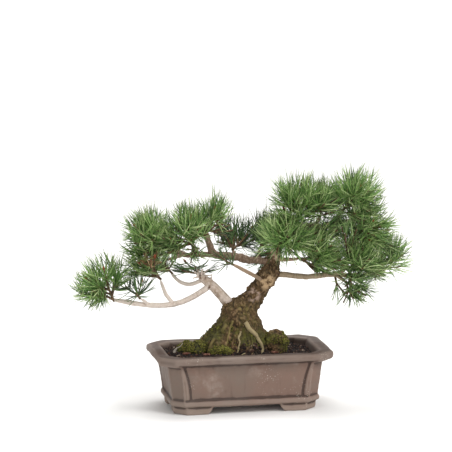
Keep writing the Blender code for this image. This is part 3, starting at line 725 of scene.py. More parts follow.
@dataclass
class Pot:
    """The baked clay pot, with softened edges and a hand-made unevenness."""

    frame: dict
    effects: Effects
    voxel: float = 0.75 * MM
    most_triangles: int = 180000
    waviness: float = 0.45 * MM
    softening: int = 12
    rim_softening: int = 30
    rim_depth: float = 12 * MM
    post_foot: float = 64 * MM
    post_flare: float = 7 * MM
    panel_foot: float = 17 * MM
    panel_top: float = 54 * MM
    groove: float = 0.9 * MM
    post_near: float = 70 * MM
    post_far: float = 84 * MM
    flush_share: float = 98.0
    deepest_panel: float = 4 * MM

    def build(self) -> bpy.types.Object:
        """Models and dresses the pot.

        Returns:
            The finished piece.
        """
        pot = copy_of(self.frame, "pot", "clay_pot")
        finish_with(pot, "REMESH", mode="VOXEL", voxel_size=self.voxel)
        self.raise_posts(pot)
        finish_with(pot, "SMOOTH", factor=0.5, iterations=self.softening)
        low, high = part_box("pot")
        points = coordinates(pot)
        rim = pot.vertex_groups.new(name="rim")
        chosen = np.flatnonzero(points[:, 2] > high.z - self.rim_depth)
        rim.add([int(index) for index in chosen], 1.0, "REPLACE")
        finish_with(pot, "SMOOTH", factor=0.5, iterations=self.rim_softening, vertex_group="rim")
        uneven = rough(coordinates(pot), 30 * MM, 3.0, 3) * self.waviness
        push(pot, uneven)
        triangles = 2 * len(pot.data.polygons)
        if triangles > self.most_triangles:
            finish_with(pot, "DECIMATE", ratio=self.most_triangles / triangles)
        pot.data.shade_smooth()
        mark_crests(pot, 14, 0.35 * MM)
        ClayFinish().build(self.effects, low.z, high.z).dress(pot)
        hand_over(pot, "pot")
        return pot

    def raise_posts(self, pot: bpy.types.Object) -> None:
        """Widens the corner posts of the long sides up to a curved groove.

        Args:
            pot: the remeshed pot.
        """
        low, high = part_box("pot")
        middle = (low + high) / 2
        points, out = coordinates(pot), normals(pot)
        across = np.abs(points[:, 0] - middle.x)
        depth = np.abs(points[:, 1] - middle.y)
        height = points[:, 2] - low.z
        facing = out[:, 1] * np.sign(points[:, 1] - middle.y) > 0.75
        levels = np.linspace(self.panel_foot + 2 * MM, self.panel_top - 3 * MM, 9)
        post = facing & (across > self.post_near) & (across < self.post_far)
        near = [post & (np.abs(height - level) < 2 * MM) for level in levels]
        flush = np.array([
            np.percentile(depth[spot], self.flush_share) if spot.any() else 0.0 for spot in near
        ])
        share = np.clip((height - self.panel_foot) / (self.panel_top - self.panel_foot), 0, 1)
        past = across - (self.post_foot + self.post_flare * share**2)
        gap = np.interp(height, levels, flush) - depth
        inside = (height > self.panel_foot + 1 * MM) & (height < self.panel_top + 3 * MM)
        panel = facing & (gap < self.deepest_panel) & inside
        rise = np.clip(gap, 0, 3 * MM) * np.clip(past / (1.6 * MM), 0, 1)
        cut = self.groove * np.exp(-(((past + 0.6 * MM) / (1.1 * MM)) ** 2))
        push(pot, np.where(panel & (past > -4 * MM) & (across < 80 * MM), rise - cut, 0))


# ---------------------------------------------------------------- bark
@dataclass(frozen=True)
class BarkFinish:
    """Bark of one stretch of wood, with crevices darkened by dirt and painted shade, rubbed crests
    and moss low down.
    """

    name: str
    base: str
    other: str
    worn: str
    dirt: str
    moss: str = "3D3A14"
    moss_top: float = -1.0
    moss_fade: float = 0.03
    scale: float = 60.0
    marks: tuple[tuple[Vector, float, str], ...] = ()

    def build(self, effects: Effects) -> Finish:
        """Makes the material.

        Args:
            effects: the shared groups.

        Returns:
            The finish.
        """
        made = Finish(self.name, 0.86)
        graph = made.graph
        main = made.patches(effects, self.scale, self.base, self.other, 0.40, 0.62)
        flakes = made.patches(effects, self.scale * 4.5, main.outputs[0], self.worn, 0.56, 0.74)
        # Crests are rubbed pale. Crevices are darkened with dirt and painted shade.
        colour = made.worn(effects, flakes.outputs[0], self.worn, self.dirt, 0.7, 0.85)
        for spot, radius, code in self.marks:
            away = graph.add("VectorMath", operation="DISTANCE")
            graph.feed(away.inputs[0], made.place)
            graph.feed(away.inputs[1], tuple(spot))
            inside = graph.steps(away.outputs["Value"], radius, radius * 0.45)
            torn = graph.steps(graph.noise(made.place, 150.0, 6.0), 0.44, 0.58)
            colour = graph.mix(graph.maths("MULTIPLY", inside, torn), colour, linear(code))
        if self.moss_top > 0:
            height = graph.split(made.place)[2]
            below = graph.steps(height, self.moss_top, self.moss_top - self.moss_fade)
            spread = graph.steps(graph.noise(made.place, 42.0, 6.0), 0.40, 0.60)
            reach = graph.maths("MULTIPLY", spread, below)
            green = made.patches(effects, 210.0, self.moss, "62611F", 0.42, 0.70)
            colour = graph.mix(reach, colour, green.outputs[0])
        made.colour(colour)
        made.relief(effects, self.scale * 3.0, self.scale * 14.0, 0.6, 0.9, 0.0012)
        return made


@dataclass(frozen=True)
class WoodRow:
    """How one wooden node gets its surface: sizes in millimetres."""

    node: str
    slot: str
    finish: str
    voxel: float
    lump: float
    plate: float
    grain: float
    grow: float = 0.0
    smooth: int = 26


@dataclass
class Wood:
    """Trunk and branches, each grown from its node, and the dead stubs at the limb's end."""

    frame: dict
    effects: Effects
    soil_level: float
    limb_sink: float = 7 * MM
    stub_ways: tuple[tuple[int, int, int], ...] = (
        (-5, -2, 4), (1, -4, 6), (6, -1, 5), (-2, 4, 5), (-6, -3, -1), (9, -3, 1)
    )
    knobs: tuple[tuple[tuple[float, float, float], float, float], ...] = (
        ((0.93, 0.30, 0.80), 7 * MM, 3.2 * MM),
        ((0.85, 0.35, 0.70), 8 * MM, -1.6 * MM),
        ((0.62, 0.30, 0.74), 7 * MM, 1.6 * MM),
        ((0.36, 0.45, 0.50), 9 * MM, 5.0 * MM),
        ((0.48, 0.35, 0.56), 8 * MM, 2.6 * MM),
        ((0.47, 0.12, 0.42), 9 * MM, 1.8 * MM),
        ((0.86, 0.25, 0.22), 12 * MM, 6.0 * MM),
        ((0.72, 0.10, 0.30), 6 * MM, 1.6 * MM),
        ((0.22, 0.25, 0.26), 12 * MM, 2.4 * MM),
        ((0.55, 0.95, 0.25), 11 * MM, 3.0 * MM),
        ((0.95, 0.75, 0.18), 10 * MM, 3.0 * MM),
    )
    rows: tuple[WoodRow, ...] = (
        WoodRow("trunk", "old_bark", "trunk", 0.65, 1.9, 1.7, 0.55, 0.5, 10),
        WoodRow("left_limb", "limb_bark", "limb", 0.42, 0.55, 0.20, 0.10, 0.1, 60),
        WoodRow("left_low_branch", "limb_bark", "limb", 0.38, 0.35, 0.15, 0.08, 0.7),
        WoodRow("left_side_branch", "limb_bark", "limb", 0.34, 0.3, 0.1, 0.06, 0.5),
        WoodRow("upper_left_branch", "old_bark", "branch", 0.40, 0.7, 0.55, 0.2, 1.0),
        WoodRow("thin_branch", "limb_bark", "twig", 0.34, 0.3, 0.18, 0.08, 0.6),
        WoodRow("right_branch", "limb_bark", "right", 0.38, 0.4, 0.2, 0.1, 0.7),
        WoodRow("crown_branch", "old_bark", "branch", 0.40, 0.5, 0.4, 0.15, 0.5),
        WoodRow("front_right_twig", "limb_bark", "twig", 0.34, 0.2, 0.12, 0.06, 0.3),
    )

    def finishes(self) -> dict[str, Finish]:
        """Builds the kinds of bark by name."""
        level = self.soil_level
        low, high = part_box("trunk")
        limb_low, limb_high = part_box("left_limb")

        def on_trunk(x: float, y: float, z: float) -> Vector:
            """A place given as parts of the trunk's box."""
            return low + Vector(share * side for share, side in zip((x, y, z), high - low))

        marks = (
            (on_trunk(0.645, 0.33, 0.623), 10 * MM, "A99080"),
            (on_trunk(0.97, 0.30, 0.83), 8 * MM, "4E3526"),
            (on_trunk(0.90, 0.30, 0.96), 10 * MM, "B89B86"),
            (on_trunk(0.50, 0.30, 0.50), 9 * MM, "7A6A3C"),
            (on_trunk(0.80, 0.30, 0.74), 13 * MM, "B89C78"),
            (on_trunk(0.86, 0.35, 0.60), 8 * MM, "4E5418"),
            (on_trunk(0.80, 0.45, 0.70), 9 * MM, "47461B"),
        )
        knot = Vector((limb_low.x + 0.004, (limb_low.y + limb_high.y) / 2, limb_high.z - 0.002))
        scar = limb_low.lerp(limb_high, 0.62)
        scar.z = limb_low.z + 0.35 * (limb_high.z - limb_low.z)
        root = Vector((limb_high.x, scar.y, limb_low.z))
        eye = limb_low.lerp(limb_high, 0.36)
        eye.z = limb_low.z + 0.62 * (limb_high.z - limb_low.z)
        limb_marks = (
            (knot, 6 * MM, "6A4C3C"), (scar, 7 * MM, "96604C"), (eye, 5 * MM, "5C4030"),
            (root, 21 * MM, "6B5436"),
        )
        kinds = {
            "trunk": BarkFinish(
                "trunk_flaky_bark", "422F12", "543D22", "866C4C", "150D06",
                moss_top=level + 0.070, moss_fade=0.060, scale=70.0, marks=marks,
            ),
            "branch": BarkFinish(
                "branch_grey_bark", "76614F", "66503F", "9A8470", "33261C", scale=110.0
            ),
            "limb": BarkFinish(
                "limb_pale_bark", "C9B9AC", "A38E7C", "DFD3C8", "6E5643", scale=85.0,
                marks=limb_marks,
            ),
            "right": BarkFinish(
                "right_branch_bark_finish", "8F7D64", "7B6850", "AC9A80", "52432F", scale=70.0
            ),
            "twig": BarkFinish(
                "twig_brown_bark", "8B725C", "74573F", "A78F77", "43311F", scale=120.0
            ),
            "root": BarkFinish(
                "root_pale_bark", "7C6E4E", "655838", "A4946F", "3A2C18", scale=110.0
            ),
            "mossy_root": BarkFinish(
                "root_mossy_bark", "5E5028", "4A421C", "857446", "261C0C",
                moss_top=level + 0.05, moss_fade=0.02, scale=90.0,
            ),
        }
        return {key: kind.build(self.effects) for key, kind in kinds.items()}

    def build(self) -> dict[str, Finish]:
        """Models and dresses every piece of wood.

        Returns:
            The kinds of bark, for the roots.
        """
        kinds = self.finishes()
        for number, row in enumerate(self.rows):
            piece = copy_of(self.frame, row.node, f"{row.node}_bark")
            if row.node == "left_limb":
                self.swell(piece)
            finish_with(piece, "REMESH", mode="VOXEL", voxel_size=row.voxel * MM)
            finish_with(piece, "SMOOTH", factor=0.5, iterations=row.smooth)
            if row.node == "trunk":
                self.raise_knobs(piece)
            self.roughen(piece, row, number)
            piece.data.shade_smooth()
            mark_crests(piece, 10, max(row.plate, row.lump) * MM * 0.45)
            kinds[row.finish].dress(piece)
            hand_over(piece, row.node)
        self.stubs(kinds["limb"])
        return kinds

    def stubs(self, finish: Finish) -> None:
        """Adds the dead stubs round the knuckle at the limb's end.

        Args:
            finish: the limb's bark.
        """
        limb = coordinates(self.frame["nodes"]["left_limb"])
        tip = limb[np.argsort(limb[:, 0] - limb[:, 2])[:10]].mean(axis=0)
        stem = Stem(8, 8)
        made = []
        for number, reach in enumerate(self.stub_ways):
            way = np.array(reach) * MM
            start = tip + np.array((1.0, 0, -1.5)) * MM + way * 0.35
            line = start + np.linspace(0, 1, 5)[:, None] * way * 1.15
            thick = np.array((2.3, 1.9, 1.5, 1.3, 0.9)) * MM * (1 - 0.08 * number)
            made.append(stem.laid(f"limb_stub_{number}", line, thick))
        stubs = joined("limb_stubs", made)
        finish_with(stubs, "SUBSURF", levels=1, render_levels=1)
        push(stubs, rough(coordinates(stubs), 1.6 * MM, 2.0, 2) * 0.35 * MM)
        mark_crests(stubs, 4, 0.25 * MM)
        finish.dress(stubs)
        hand_over(stubs)

    def swell(self, limb: bpy.types.Object) -> None:
        """Thickens the limb towards its root and runs it into the trunk.

        Args:
            limb: the copy of the limb, before it is remeshed.
        """
        points = coordinates(limb)
        order = np.argsort(points[:, 0] - points[:, 2])
        tip, root = points[order[:10]].mean(axis=0), points[order[-10:]].mean(axis=0)
        along = root - tip
        share = (points - tip) @ along / (along @ along)
        axis = tip + share[:, None] * along
        scale = np.interp(share, [0.0, 0.25, 0.7, 1.0], [1.2, 1.15, 1.2, 1.35])[:, None]
        sink = np.clip((share - 0.85) / 0.15, 0, 1)[:, None] * along / np.linalg.norm(along)
        set_coordinates(limb, axis + (points - axis) * scale + sink * self.limb_sink)

    def raise_knobs(self, trunk: bpy.types.Object) -> None:
        """Pushes out the burl, the shoulders and the root buttresses.

        Args:
            trunk: the smoothed trunk.
        """
        low, high = (np.array(corner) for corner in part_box("trunk"))
        points = coordinates(trunk)
        offset = np.zeros(len(points))
        for place, radius, rise in self.knobs:
            away = np.linalg.norm(points - (low + np.array(place) * (high - low)), axis=1)
            offset += rise * np.exp(-((away / radius) ** 2))
        push(trunk, offset)

    def roughen(self, piece: bpy.types.Object, row: WoodRow, seed: int) -> None:
        """Raises lumps, plates and grain on a piece of wood.

        Args:
            piece: the smoothed wood.
            row: its sizes.
            seed: shifts the patterns.
        """
        points = coordinates(piece) * (1, 1, 0.7)
        coarse = rough(points, 12 * MM, seed + 2.0, 2) * (row.lump * MM)
        plates = ridges(points, 6.5 * MM, seed + 9.0) - 0.5
        plates = plates + 0.6 * (ridges(points, 3.1 * MM, seed + 4.0) - 0.5)
        grain = rough(points, 1.6 * MM, seed + 5.0, 2) * (row.grain * MM)
        push(piece, coarse - plates * (row.plate * MM) + grain + row.grow * MM)


@dataclass(frozen=True)
class RootRow:
    """One surface root: its line in parts of the trunk's box, and its width in metres."""

    piece: str
    run: tuple[tuple[float, float], ...]
    start: float
    end: float
    finish: str = "root"
    node: str = ""
    arch: float = 0.0


@dataclass
class SurfaceRoots:
    """Roots that wind down the flare of the trunk into the soil."""

    kinds: dict[str, Finish]
    rows: tuple[RootRow, ...] = (
        RootRow("pale_root_bark", ((0.53, 0.41), (0.575, 0.345), (0.655, 0.295), (0.70, 0.24),
                                   (0.735, 0.17), (0.725, 0.10), (0.74, 0.04)),
                2.9 * MM, 0.9 * MM, node="pale_root"),
        RootRow("thin_root_bark", ((0.47, 0.33), (0.45, 0.28), (0.46, 0.235), (0.435, 0.18),
                                   (0.43, 0.10), (0.42, 0.05)),
                1.2 * MM, 0.6 * MM, node="thin_root"),
        RootRow("side_root_bark", ((0.31, 0.38), (0.25, 0.335), (0.17, 0.29), (0.115, 0.22),
                                   (0.06, 0.13), (0.04, 0.06)),
                2.2 * MM, 1.2 * MM, "mossy_root", "side_root"),
        RootRow("left_ridge_root", ((0.38, 0.42), (0.33, 0.34), (0.31, 0.26), (0.27, 0.18),
                                    (0.25, 0.08)), 1.3 * MM, 0.8 * MM, "mossy_root"),
        RootRow("middle_ridge_root", ((0.60, 0.33), (0.615, 0.25), (0.60, 0.17), (0.625, 0.08)),
                1.5 * MM, 0.8 * MM, "mossy_root"),
        RootRow("right_ridge_root", ((0.77, 0.36), (0.83, 0.27), (0.86, 0.19), (0.885, 0.08)),
                2.2 * MM, 1.1 * MM, "mossy_root"),
        RootRow("soil_root_arch",
                ((0.44, 0.03), (0.50, 0.03), (0.56, 0.03), (0.62, 0.03), (0.66, 0.03)),
                0.9 * MM, 0.7 * MM, arch=3.0 * MM),
    )

    def build(self) -> None:
        """Lays every root over the bark."""
        self.stem = Stem(10, 40)
        bark = bpy.data.objects["trunk_bark"]
        surface = surface_of(bark)
        low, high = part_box("trunk")
        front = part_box("soil")[0].y + 9 * MM
        for number, row in enumerate(self.rows):
            run = np.array(row.run)
            steps = np.linspace(0, 1, 26)
            share = np.linspace(0, 1, len(run))
            x = low.x + np.interp(steps, share, run[:, 0]) * (high - low).x
            z = low.z + np.interp(steps, share, run[:, 1]) * (high - low).z
            path = []
            for spot_x, spot_z, step in zip(x, z, steps):
                thick = row.start + (row.end - row.start) * step
                start = Vector((spot_x - 0.02, low.y - 0.1, spot_z))
                hit, way, _, _ = surface.ray_cast(start, Vector((0.17, 1, 0)).normalized())
                if row.arch:
                    rise = row.arch * math.sin(math.pi * step) ** 0.7
                    path.append((spot_x, front + 2 * rise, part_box("bark_chip_middle")[0].z + rise))
                elif hit is not None:
                    path.append(tuple(hit + way * thick * (0.35 if row.node else 0.0)))
            path = np.array(path)
            path[:, 0] += rough(path, 7 * MM, number + 8.0, 2) * 1.3 * MM
            for _ in range(2):
                path[1:-1] = (path[:-2] + 2 * path[1:-1] + path[2:]) / 4
            knots = 1 + 0.22 * rough(path, 5 * MM, number + 0.5, 2)
            thick = np.linspace(row.start, row.end, len(path)) * knots
            root = self.stem.laid(row.piece, path, thick)
            push(root, rough(coordinates(root), 2.2 * MM, number + 3.0, 2) * 0.25 * MM)
            mark_crests(root, 6, 0.2 * MM)
            self.kinds[row.finish].dress(root)
            hand_over(root, row.node)


# ---------------------------------------------------------------- moss
@dataclass(frozen=True)
class MossFinish:
    """Moss from olive in its depths to yellow-green at its tips."""

    def build(self) -> Finish:
        """Makes the material, coloured by each sprig's own UV.

        Returns:
            The finish.
        """
        made = Finish("moss_sprigs", 0.9)
        graph = made.graph
        uv = graph.add("UVMap", uv_map=BAKE_MAP).outputs[0]
        across, along, _ = graph.split(uv)
        kind = ramp(graph, across, (
            (0.0, "2E2810"), (0.3, "4C4818"), (0.6, "6C6A22"), (0.85, "90903A"), (1.0, "85703C"),
        ))
        made.colour(graph.mix(graph.steps(along, 0.0, 1.0), linear("1D1A0B"), kind))
        return made


@dataclass
class Moss:
    """Cushions of moss, and the thin moss that creeps up the root flare."""

    frame: dict
    effects: Effects
    soil_level: float
    bark: Finish
    seed: int = 17

    def cushion_finish(self) -> Finish:
        """The dark ground under the sprigs, its hollows darkened with dirt and painted shade."""
        made = Finish("moss_cushion", 0.95)
        ground = made.patches(self.effects, 130.0, "33301A", "50501E", 0.40, 0.62)
        # The cushion's hollows are darkened with dirt and painted shade.
        made.colour(made.worn(self.effects, ground.outputs[0], "636424", "1C150B", 0.7, 0.9))
        made.relief(self.effects, 300.0, 1200.0, 0.7, 1.0, 0.0016)
        return made

    def build(self) -> None:
        """Models the three cushions and all the sprigs."""
        ground = self.cushion_finish()
        sprigs = MossFinish().build()
        stretch = {
            "moss_left": (1.14, 1.14, 0.96), "moss_right": (1.32, 1.1, 0.97),
            "moss_front": (1.2, 1.1, 0.9),
        }
        for number, (node, wide) in enumerate(stretch.items()):
            cushion = copy_of(self.frame, node, f"{node}_cushion")
            middle = sum(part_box(node), Vector()) / 2
            edit_all(cushion)
            bpy.ops.transform.resize(value=wide, center_override=middle)
            leave_edit()
            finish_with(cushion, "REMESH", mode="VOXEL", voxel_size=0.6 * MM)
            points = coordinates(cushion)
            offsets = rough(points, 9 * MM, number + 3.0, 3) * 2.6 * MM
            push(cushion, offsets + rough(points, 1.8 * MM, number + 6.0, 2) * 0.6 * MM)
            cushion.data.shade_smooth()
            mark_crests(cushion, 8, 0.5 * MM)
            (self.bark if node == "moss_right" else ground).dress(cushion)
            hand_over(cushion, node)
            cover = 0.62 if node == "moss_right" else 0.95
            sprigs.dress(self.coat(cushion, f"{node}_sprigs", 5200, cover, number))
        trunk = bpy.data.objects["trunk_bark"]
        sprigs.dress(self.coat(trunk, "flare_moss_sprigs", 11000, 0.5, 7))

    def coat(
        self, base: bpy.types.Object, name: str, count: int, cover: float, seed: int
    ) -> bpy.types.Object:
        """Scatters sprigs over a surface.

        Args:
            base: what they grow on.
            name: the piece's name.
            count: how many places are tried.
            cover: how much of the surface they take.
            seed: fixes the pattern.

        Returns:
            The sprigs, as one piece.
        """
        rng = np.random.default_rng(self.seed + seed)
        points, out = coordinates(base), normals(base)
        chosen = rng.integers(0, len(points), count)
        spots, up = points[chosen], out[chosen]
        height = spots[:, 2] - self.soil_level
        patches = rough(spots, 11 * MM, seed + 1.5, 3)
        low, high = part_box("trunk")
        middle = np.exp(-(((spots[:, 0] - low.x - 0.62 * (high.x - low.x)) / (17 * MM)) ** 2))
        patches = patches - 0.55 * middle * (cover < 0.6)
        limit = (1 - cover) * 1.1 - 0.30 + height * (7.0 if cover < 1 else 0.0)
        keep = (height > -0.001) & (patches > limit) & (up[:, 2] > -0.35)
        spots, up = spots[keep], up[keep]
        tall = rng.uniform(0.9, 2.6, len(spots)) * MM
        obj = sprig_mesh(name, spots, up, tall, rng)
        hand_over(obj)
        return obj


def sprig_mesh(
    name: str, spots: np.ndarray, up: np.ndarray, tall: np.ndarray, rng: np.random.Generator
) -> bpy.types.Object:
    """Small three-sided spikes, one at each spot.

    Args:
        name: the piece's name.
        spots: where each stands.
        up: which way each points.
        tall: the height of each.
        rng: the source of the spread.

    Returns:
        The piece, with its UV map.
    """
    count = len(spots)
    lean = unit(up + rng.normal(0, 0.45, (count, 3)))
    side = unit(np.cross(lean, rng.normal(0, 1, (count, 3))))
    third = np.cross(lean, side)
    ring = [(math.cos(a), math.sin(a)) for a in (0.0, 2.1, 4.2)]
    wide = tall * 0.26
    corners = [
        spots - lean * tall[:, None] * 0.3 + (side * c + third * s) * wide[:, None]
        for c, s in ring
    ]
    middle = [
        spots + lean * tall[:, None] * 0.45 + (side * c + third * s) * wide[:, None] * 1.3
        for c, s in ring
    ]
    tip = spots + lean * tall[:, None]
    points = np.stack([*corners, *middle, tip], axis=1).reshape(-1, 3)
    local = np.array([
        (0, 1, 4), (0, 4, 3), (1, 2, 5), (1, 5, 4), (2, 0, 3), (2, 3, 5),
        (3, 4, 6), (4, 5, 6), (5, 3, 6), (2, 1, 0),
    ])
    obj = new_piece(name, points, repeated(local, 7, count))
    levels = np.array([0, 0, 0, 0.6, 0.6, 0.6, 1.0])
    spread = np.array([0.0, 0.5, 1.0, 0.0, 0.5, 1.0, 0.5])
    column_uv(obj, rng.integers(0, 32, count), local, spread, levels, 32)
    return obj


def column_uv(
    obj: bpy.types.Object, column: np.ndarray, local: np.ndarray, spread: np.ndarray,
    levels: np.ndarray, columns: int,
) -> None:
    """Lays every copy of a shape into its own narrow column of the map `OFBake`.

    Args:
        obj: the piece made of the copies.
        column: the column that each copy takes.
        local: the shape's faces.
        spread: where each of its vertices lies across the column.
        levels: where each lies along it.
        columns: how many columns there are.
    """
    corner = local.ravel()
    across = (column[:, None] + 0.15 + 0.7 * spread[corner][None]) / columns
    along = np.broadcast_to(0.02 + 0.96 * levels[corner][None], across.shape)
    layer = obj.data.uv_layers.new(name=BAKE_MAP)
    layer.data.foreach_set("uv", np.stack([across, along], axis=2).astype(np.float32).ravel())


# ---------------------------------------------------------------- needles
class Tone(Enum):
    """The needles' greens: one green painted sunlit, in half shade and in shade, and dried needles
    of their own colour.
    """

    SUN = "sun"
    HALF_SHADE = "deep"
    SHADE = "shade"
    DRY = "dry"


@dataclass(frozen=True)
class NeedleFinish:
    """Waxy green needles: each has its own green, paler at its foot."""

    tone: Tone

    def build(self) -> Finish:
        """Makes the material, coloured by each needle's own UV.

        Returns:
            The finish.
        """
        # The first three rows are one green with painted light and painted shade. DRY is the dried
        # needles' own colour.
        greens = {
            Tone.SUN: ["2B461C", "5E8640", "90B266", "C6D69A"],
            Tone.HALF_SHADE: ["263E1A", "4E7036", "749656", "AEC286"],
            Tone.SHADE: ["1B2A15", "2B4423", "426430", "74905A"],
            Tone.DRY: ["4E3622", "7A5636", "A37D54", "C9AC84"],
        }[self.tone]
        made = Finish(f"needles_{self.tone.value}", 0.42)
        graph = made.graph
        uv = graph.add("UVMap", uv_map=BAKE_MAP).outputs[0]
        across, along, _ = graph.split(uv)
        kind = ramp(graph, across, tuple(zip((0.0, 0.35, 0.70, 1.0), greens)))
        foot = graph.mix(graph.steps(along, 0.22, 0.0), kind, linear("8E9C58"))
        sheath = graph.mix(graph.steps(along, 0.055, 0.035), foot, linear("6E4A2C"))
        dried = graph.maths("MULTIPLY", graph.steps(along, 0.72, 1.0), 0.55)
        made.colour(graph.mix(dried, sheath, linear("8C8A62")))
        made.shader.inputs["Specular IOR Level"].default_value = 0.45
        return made


@dataclass(frozen=True)
class Tuft:
    """One tuft of needles: how many shoots it has and how they stand."""

    shoots: int = 7
    pairs: int = 20
    length: float = 37 * MM
    tone: Tone = Tone.SUN
    lift: float = 0.35
    reach: float = 1.03
    buds: int = 1
    droop: float = 0.0


# Tufts at the back and inside take the half-shaded and shaded greens as painted shade.
TUFTS: dict[str, Tuft] = {
    "needles_far_left": Tuft(shoots=7, pairs=28, droop=0.35, lift=0.2, reach=0.96),
    "needles_low_stub": Tuft(
        shoots=4, pairs=17, tone=Tone.SHADE, lift=0.4, length=32 * MM, reach=1.35
    ),
    "needles_left_outer_front": Tuft(shoots=11, buds=2),
    "needles_left_outer_back": Tuft(shoots=9, tone=Tone.HALF_SHADE),
    "needles_left_mid_front": Tuft(shoots=11),
    "needles_left_mid_back": Tuft(shoots=9, tone=Tone.HALF_SHADE),
    "needles_left_top": Tuft(shoots=8, pairs=26, lift=0.7, buds=2),
    "needles_left_lower_front": Tuft(shoots=10, buds=2, lift=0.2),
    "needles_left_lower_back": Tuft(shoots=8, tone=Tone.HALF_SHADE, lift=0.2),
    "needles_left_inner": Tuft(
        shoots=6, pairs=22, tone=Tone.SHADE, lift=0.5, length=34 * MM, reach=1.35
    ),
    "needles_centre_back_left": Tuft(shoots=8, tone=Tone.SHADE, lift=0.6),
    "needles_centre_back_right": Tuft(shoots=9, tone=Tone.SHADE, lift=0.5),
    "needles_top_left": Tuft(shoots=13, lift=0.5),
    "needles_top_right": Tuft(shoots=14, length=33 * MM, lift=0.35, buds=3, reach=0.90),
    "needles_top_back": Tuft(shoots=11, tone=Tone.HALF_SHADE, lift=0.3, reach=0.94),
    "needles_right_shoulder": Tuft(shoots=11, lift=0.2),
    "needles_right_back": Tuft(shoots=10, tone=Tone.HALF_SHADE, lift=0.2),
    "needles_inner_back": Tuft(shoots=10, tone=Tone.SHADE, lift=0.2),
    "needles_right_front": Tuft(shoots=14, lift=0.3),
    "needles_front_bud": Tuft(shoots=11, lift=0.15),
    "needles_lower_right_front": Tuft(shoots=12, lift=0.2),
    "needles_lower_right_end": Tuft(shoots=9, lift=0.3, buds=2),
    "needles_lower_right_back": Tuft(shoots=10, tone=Tone.HALF_SHADE, lift=0.2),
    "needles_lower_right_hanging": Tuft(
        shoots=5, pairs=16, tone=Tone.HALF_SHADE, lift=-0.4, droop=0.4, length=30 * MM, buds=0
    ),
}


# Tufts that close the gap between two others: both names, how far over, size, tone and shift.
BETWEEN: tuple[tuple[str, str, float, float, Tone, tuple[float, float, float]], ...] = (
    ("left_outer_front", "left_lower_front", 0.5, 0.95, Tone.SUN, (0, 0, 0)),
    ("left_mid_front", "left_lower_front", 0.45, 1.0, Tone.HALF_SHADE, (0, 0, 0)),
    ("left_mid_front", "left_outer_front", 0.5, 0.8, Tone.SUN, (0, 0, -0.004)),
    ("left_mid_front", "left_top", 0.5, 0.85, Tone.SUN, (0, 0, -0.006)),
    ("left_top", "centre_back_left", 0.6, 0.85, Tone.SHADE, (0, 0, 0)),
    ("centre_back_left", "centre_back_right", 0.5, 0.95, Tone.SHADE, (0, 0, 0)),
    ("centre_back_right", "right_front", 0.4, 0.9, Tone.HALF_SHADE, (0, 0, 0.002)),
    ("top_left", "right_front", 0.5, 0.9, Tone.SUN, (0, 0, 0)),
    ("top_left", "top_right", 0.5, 0.85, Tone.SUN, (0, 0, -0.006)),
    ("top_right", "right_shoulder", 0.5, 0.85, Tone.SUN, (0, 0, 0)),
    ("right_front", "right_shoulder", 0.55, 0.85, Tone.HALF_SHADE, (0, 0.01, 0.004)),
    ("right_shoulder", "lower_right_front", 0.5, 0.9, Tone.SUN, (0, 0, 0)),
    ("right_shoulder", "lower_right_end", 0.5, 0.8, Tone.HALF_SHADE, (0, 0, 0)),
    ("right_front", "lower_right_front", 0.5, 0.9, Tone.SUN, (0, 0, 0)),
    ("front_bud", "lower_right_front", 0.5, 0.8, Tone.SUN, (0, 0, -0.004)),
    ("lower_right_front", "lower_right_end", 0.5, 0.8, Tone.SUN, (0, -0.006, -0.010)),
    ("lower_right_front", "lower_right_hanging", 0.50, 1.05, Tone.HALF_SHADE, (-0.004, -0.010, 0.002)),
    ("lower_right_end", "lower_right_hanging", 0.38, 0.95, Tone.HALF_SHADE, (-0.002, -0.008, 0.002)),
    ("lower_right_hanging", "lower_right_front", 0.15, 1.0, Tone.HALF_SHADE, (0.006, -0.006, 0.004)),
    ("right_front", "centre_back_right", 0.70, 0.85, Tone.HALF_SHADE, (-0.006, -0.006, -0.024)),
    ("front_bud", "lower_right_hanging", 0.25, 0.95, Tone.HALF_SHADE, (-0.004, 0.008, -0.002)),
    ("left_lower_front", "left_outer_front", 0.25, 0.55, Tone.DRY, (0.002, -0.018, 0.002)),
    ("lower_right_front", "right_shoulder", 0.50, 0.80, Tone.HALF_SHADE, (-0.020, 0, 0.015)),
    ("far_left", "low_stub", 0.24, 1.45, Tone.SUN, (0.002, 0, 0.008)),
    ("left_mid_front", "left_inner", 0.60, 0.95, Tone.HALF_SHADE, (0.000, -0.020, 0.003)),
)


@dataclass
class Needle:
    """One needle, modelled once: half-round, and drawn out to a point."""

    sides: int = 3
    cuts: int = 3
    width: float = 1.32 * MM
    points: np.ndarray = field(init=False)
    faces: np.ndarray = field(init=False)

    def __post_init__(self) -> None:
        """Models the needle one metre long and keeps its shape."""
        bpy.ops.object.select_all(action="DESELECT")
        bpy.ops.mesh.primitive_cone_add(
            vertices=self.sides, radius1=0.5, radius2=0.34, depth=1.0,
            end_fill_type="NOTHING", location=(0, 0, 0.5),
        )
        blank = bpy.context.active_object
        settle(blank)
        for height in np.linspace(0, 1, self.cuts + 2)[1:-1]:
            edit_all(blank)
            bpy.ops.mesh.bisect(plane_co=(0, 0, float(height)), plane_no=(0, 0, 1))
        leave_edit()
        edit_all(blank)
        bpy.ops.mesh.quads_convert_to_tris()
        bpy.ops.mesh.normals_make_consistent(inside=False)
        leave_edit()
        self.points, self.faces = take_shape(blank)
        height = self.points[:, 2]
        taper = np.interp(height, [0, 0.12, 0.7, 0.92, 1], [0.75, 1.0, 1.0, 0.65, 0.12])
        self.points[:, 0] *= taper
        self.points[:, 1] *= taper * 0.62


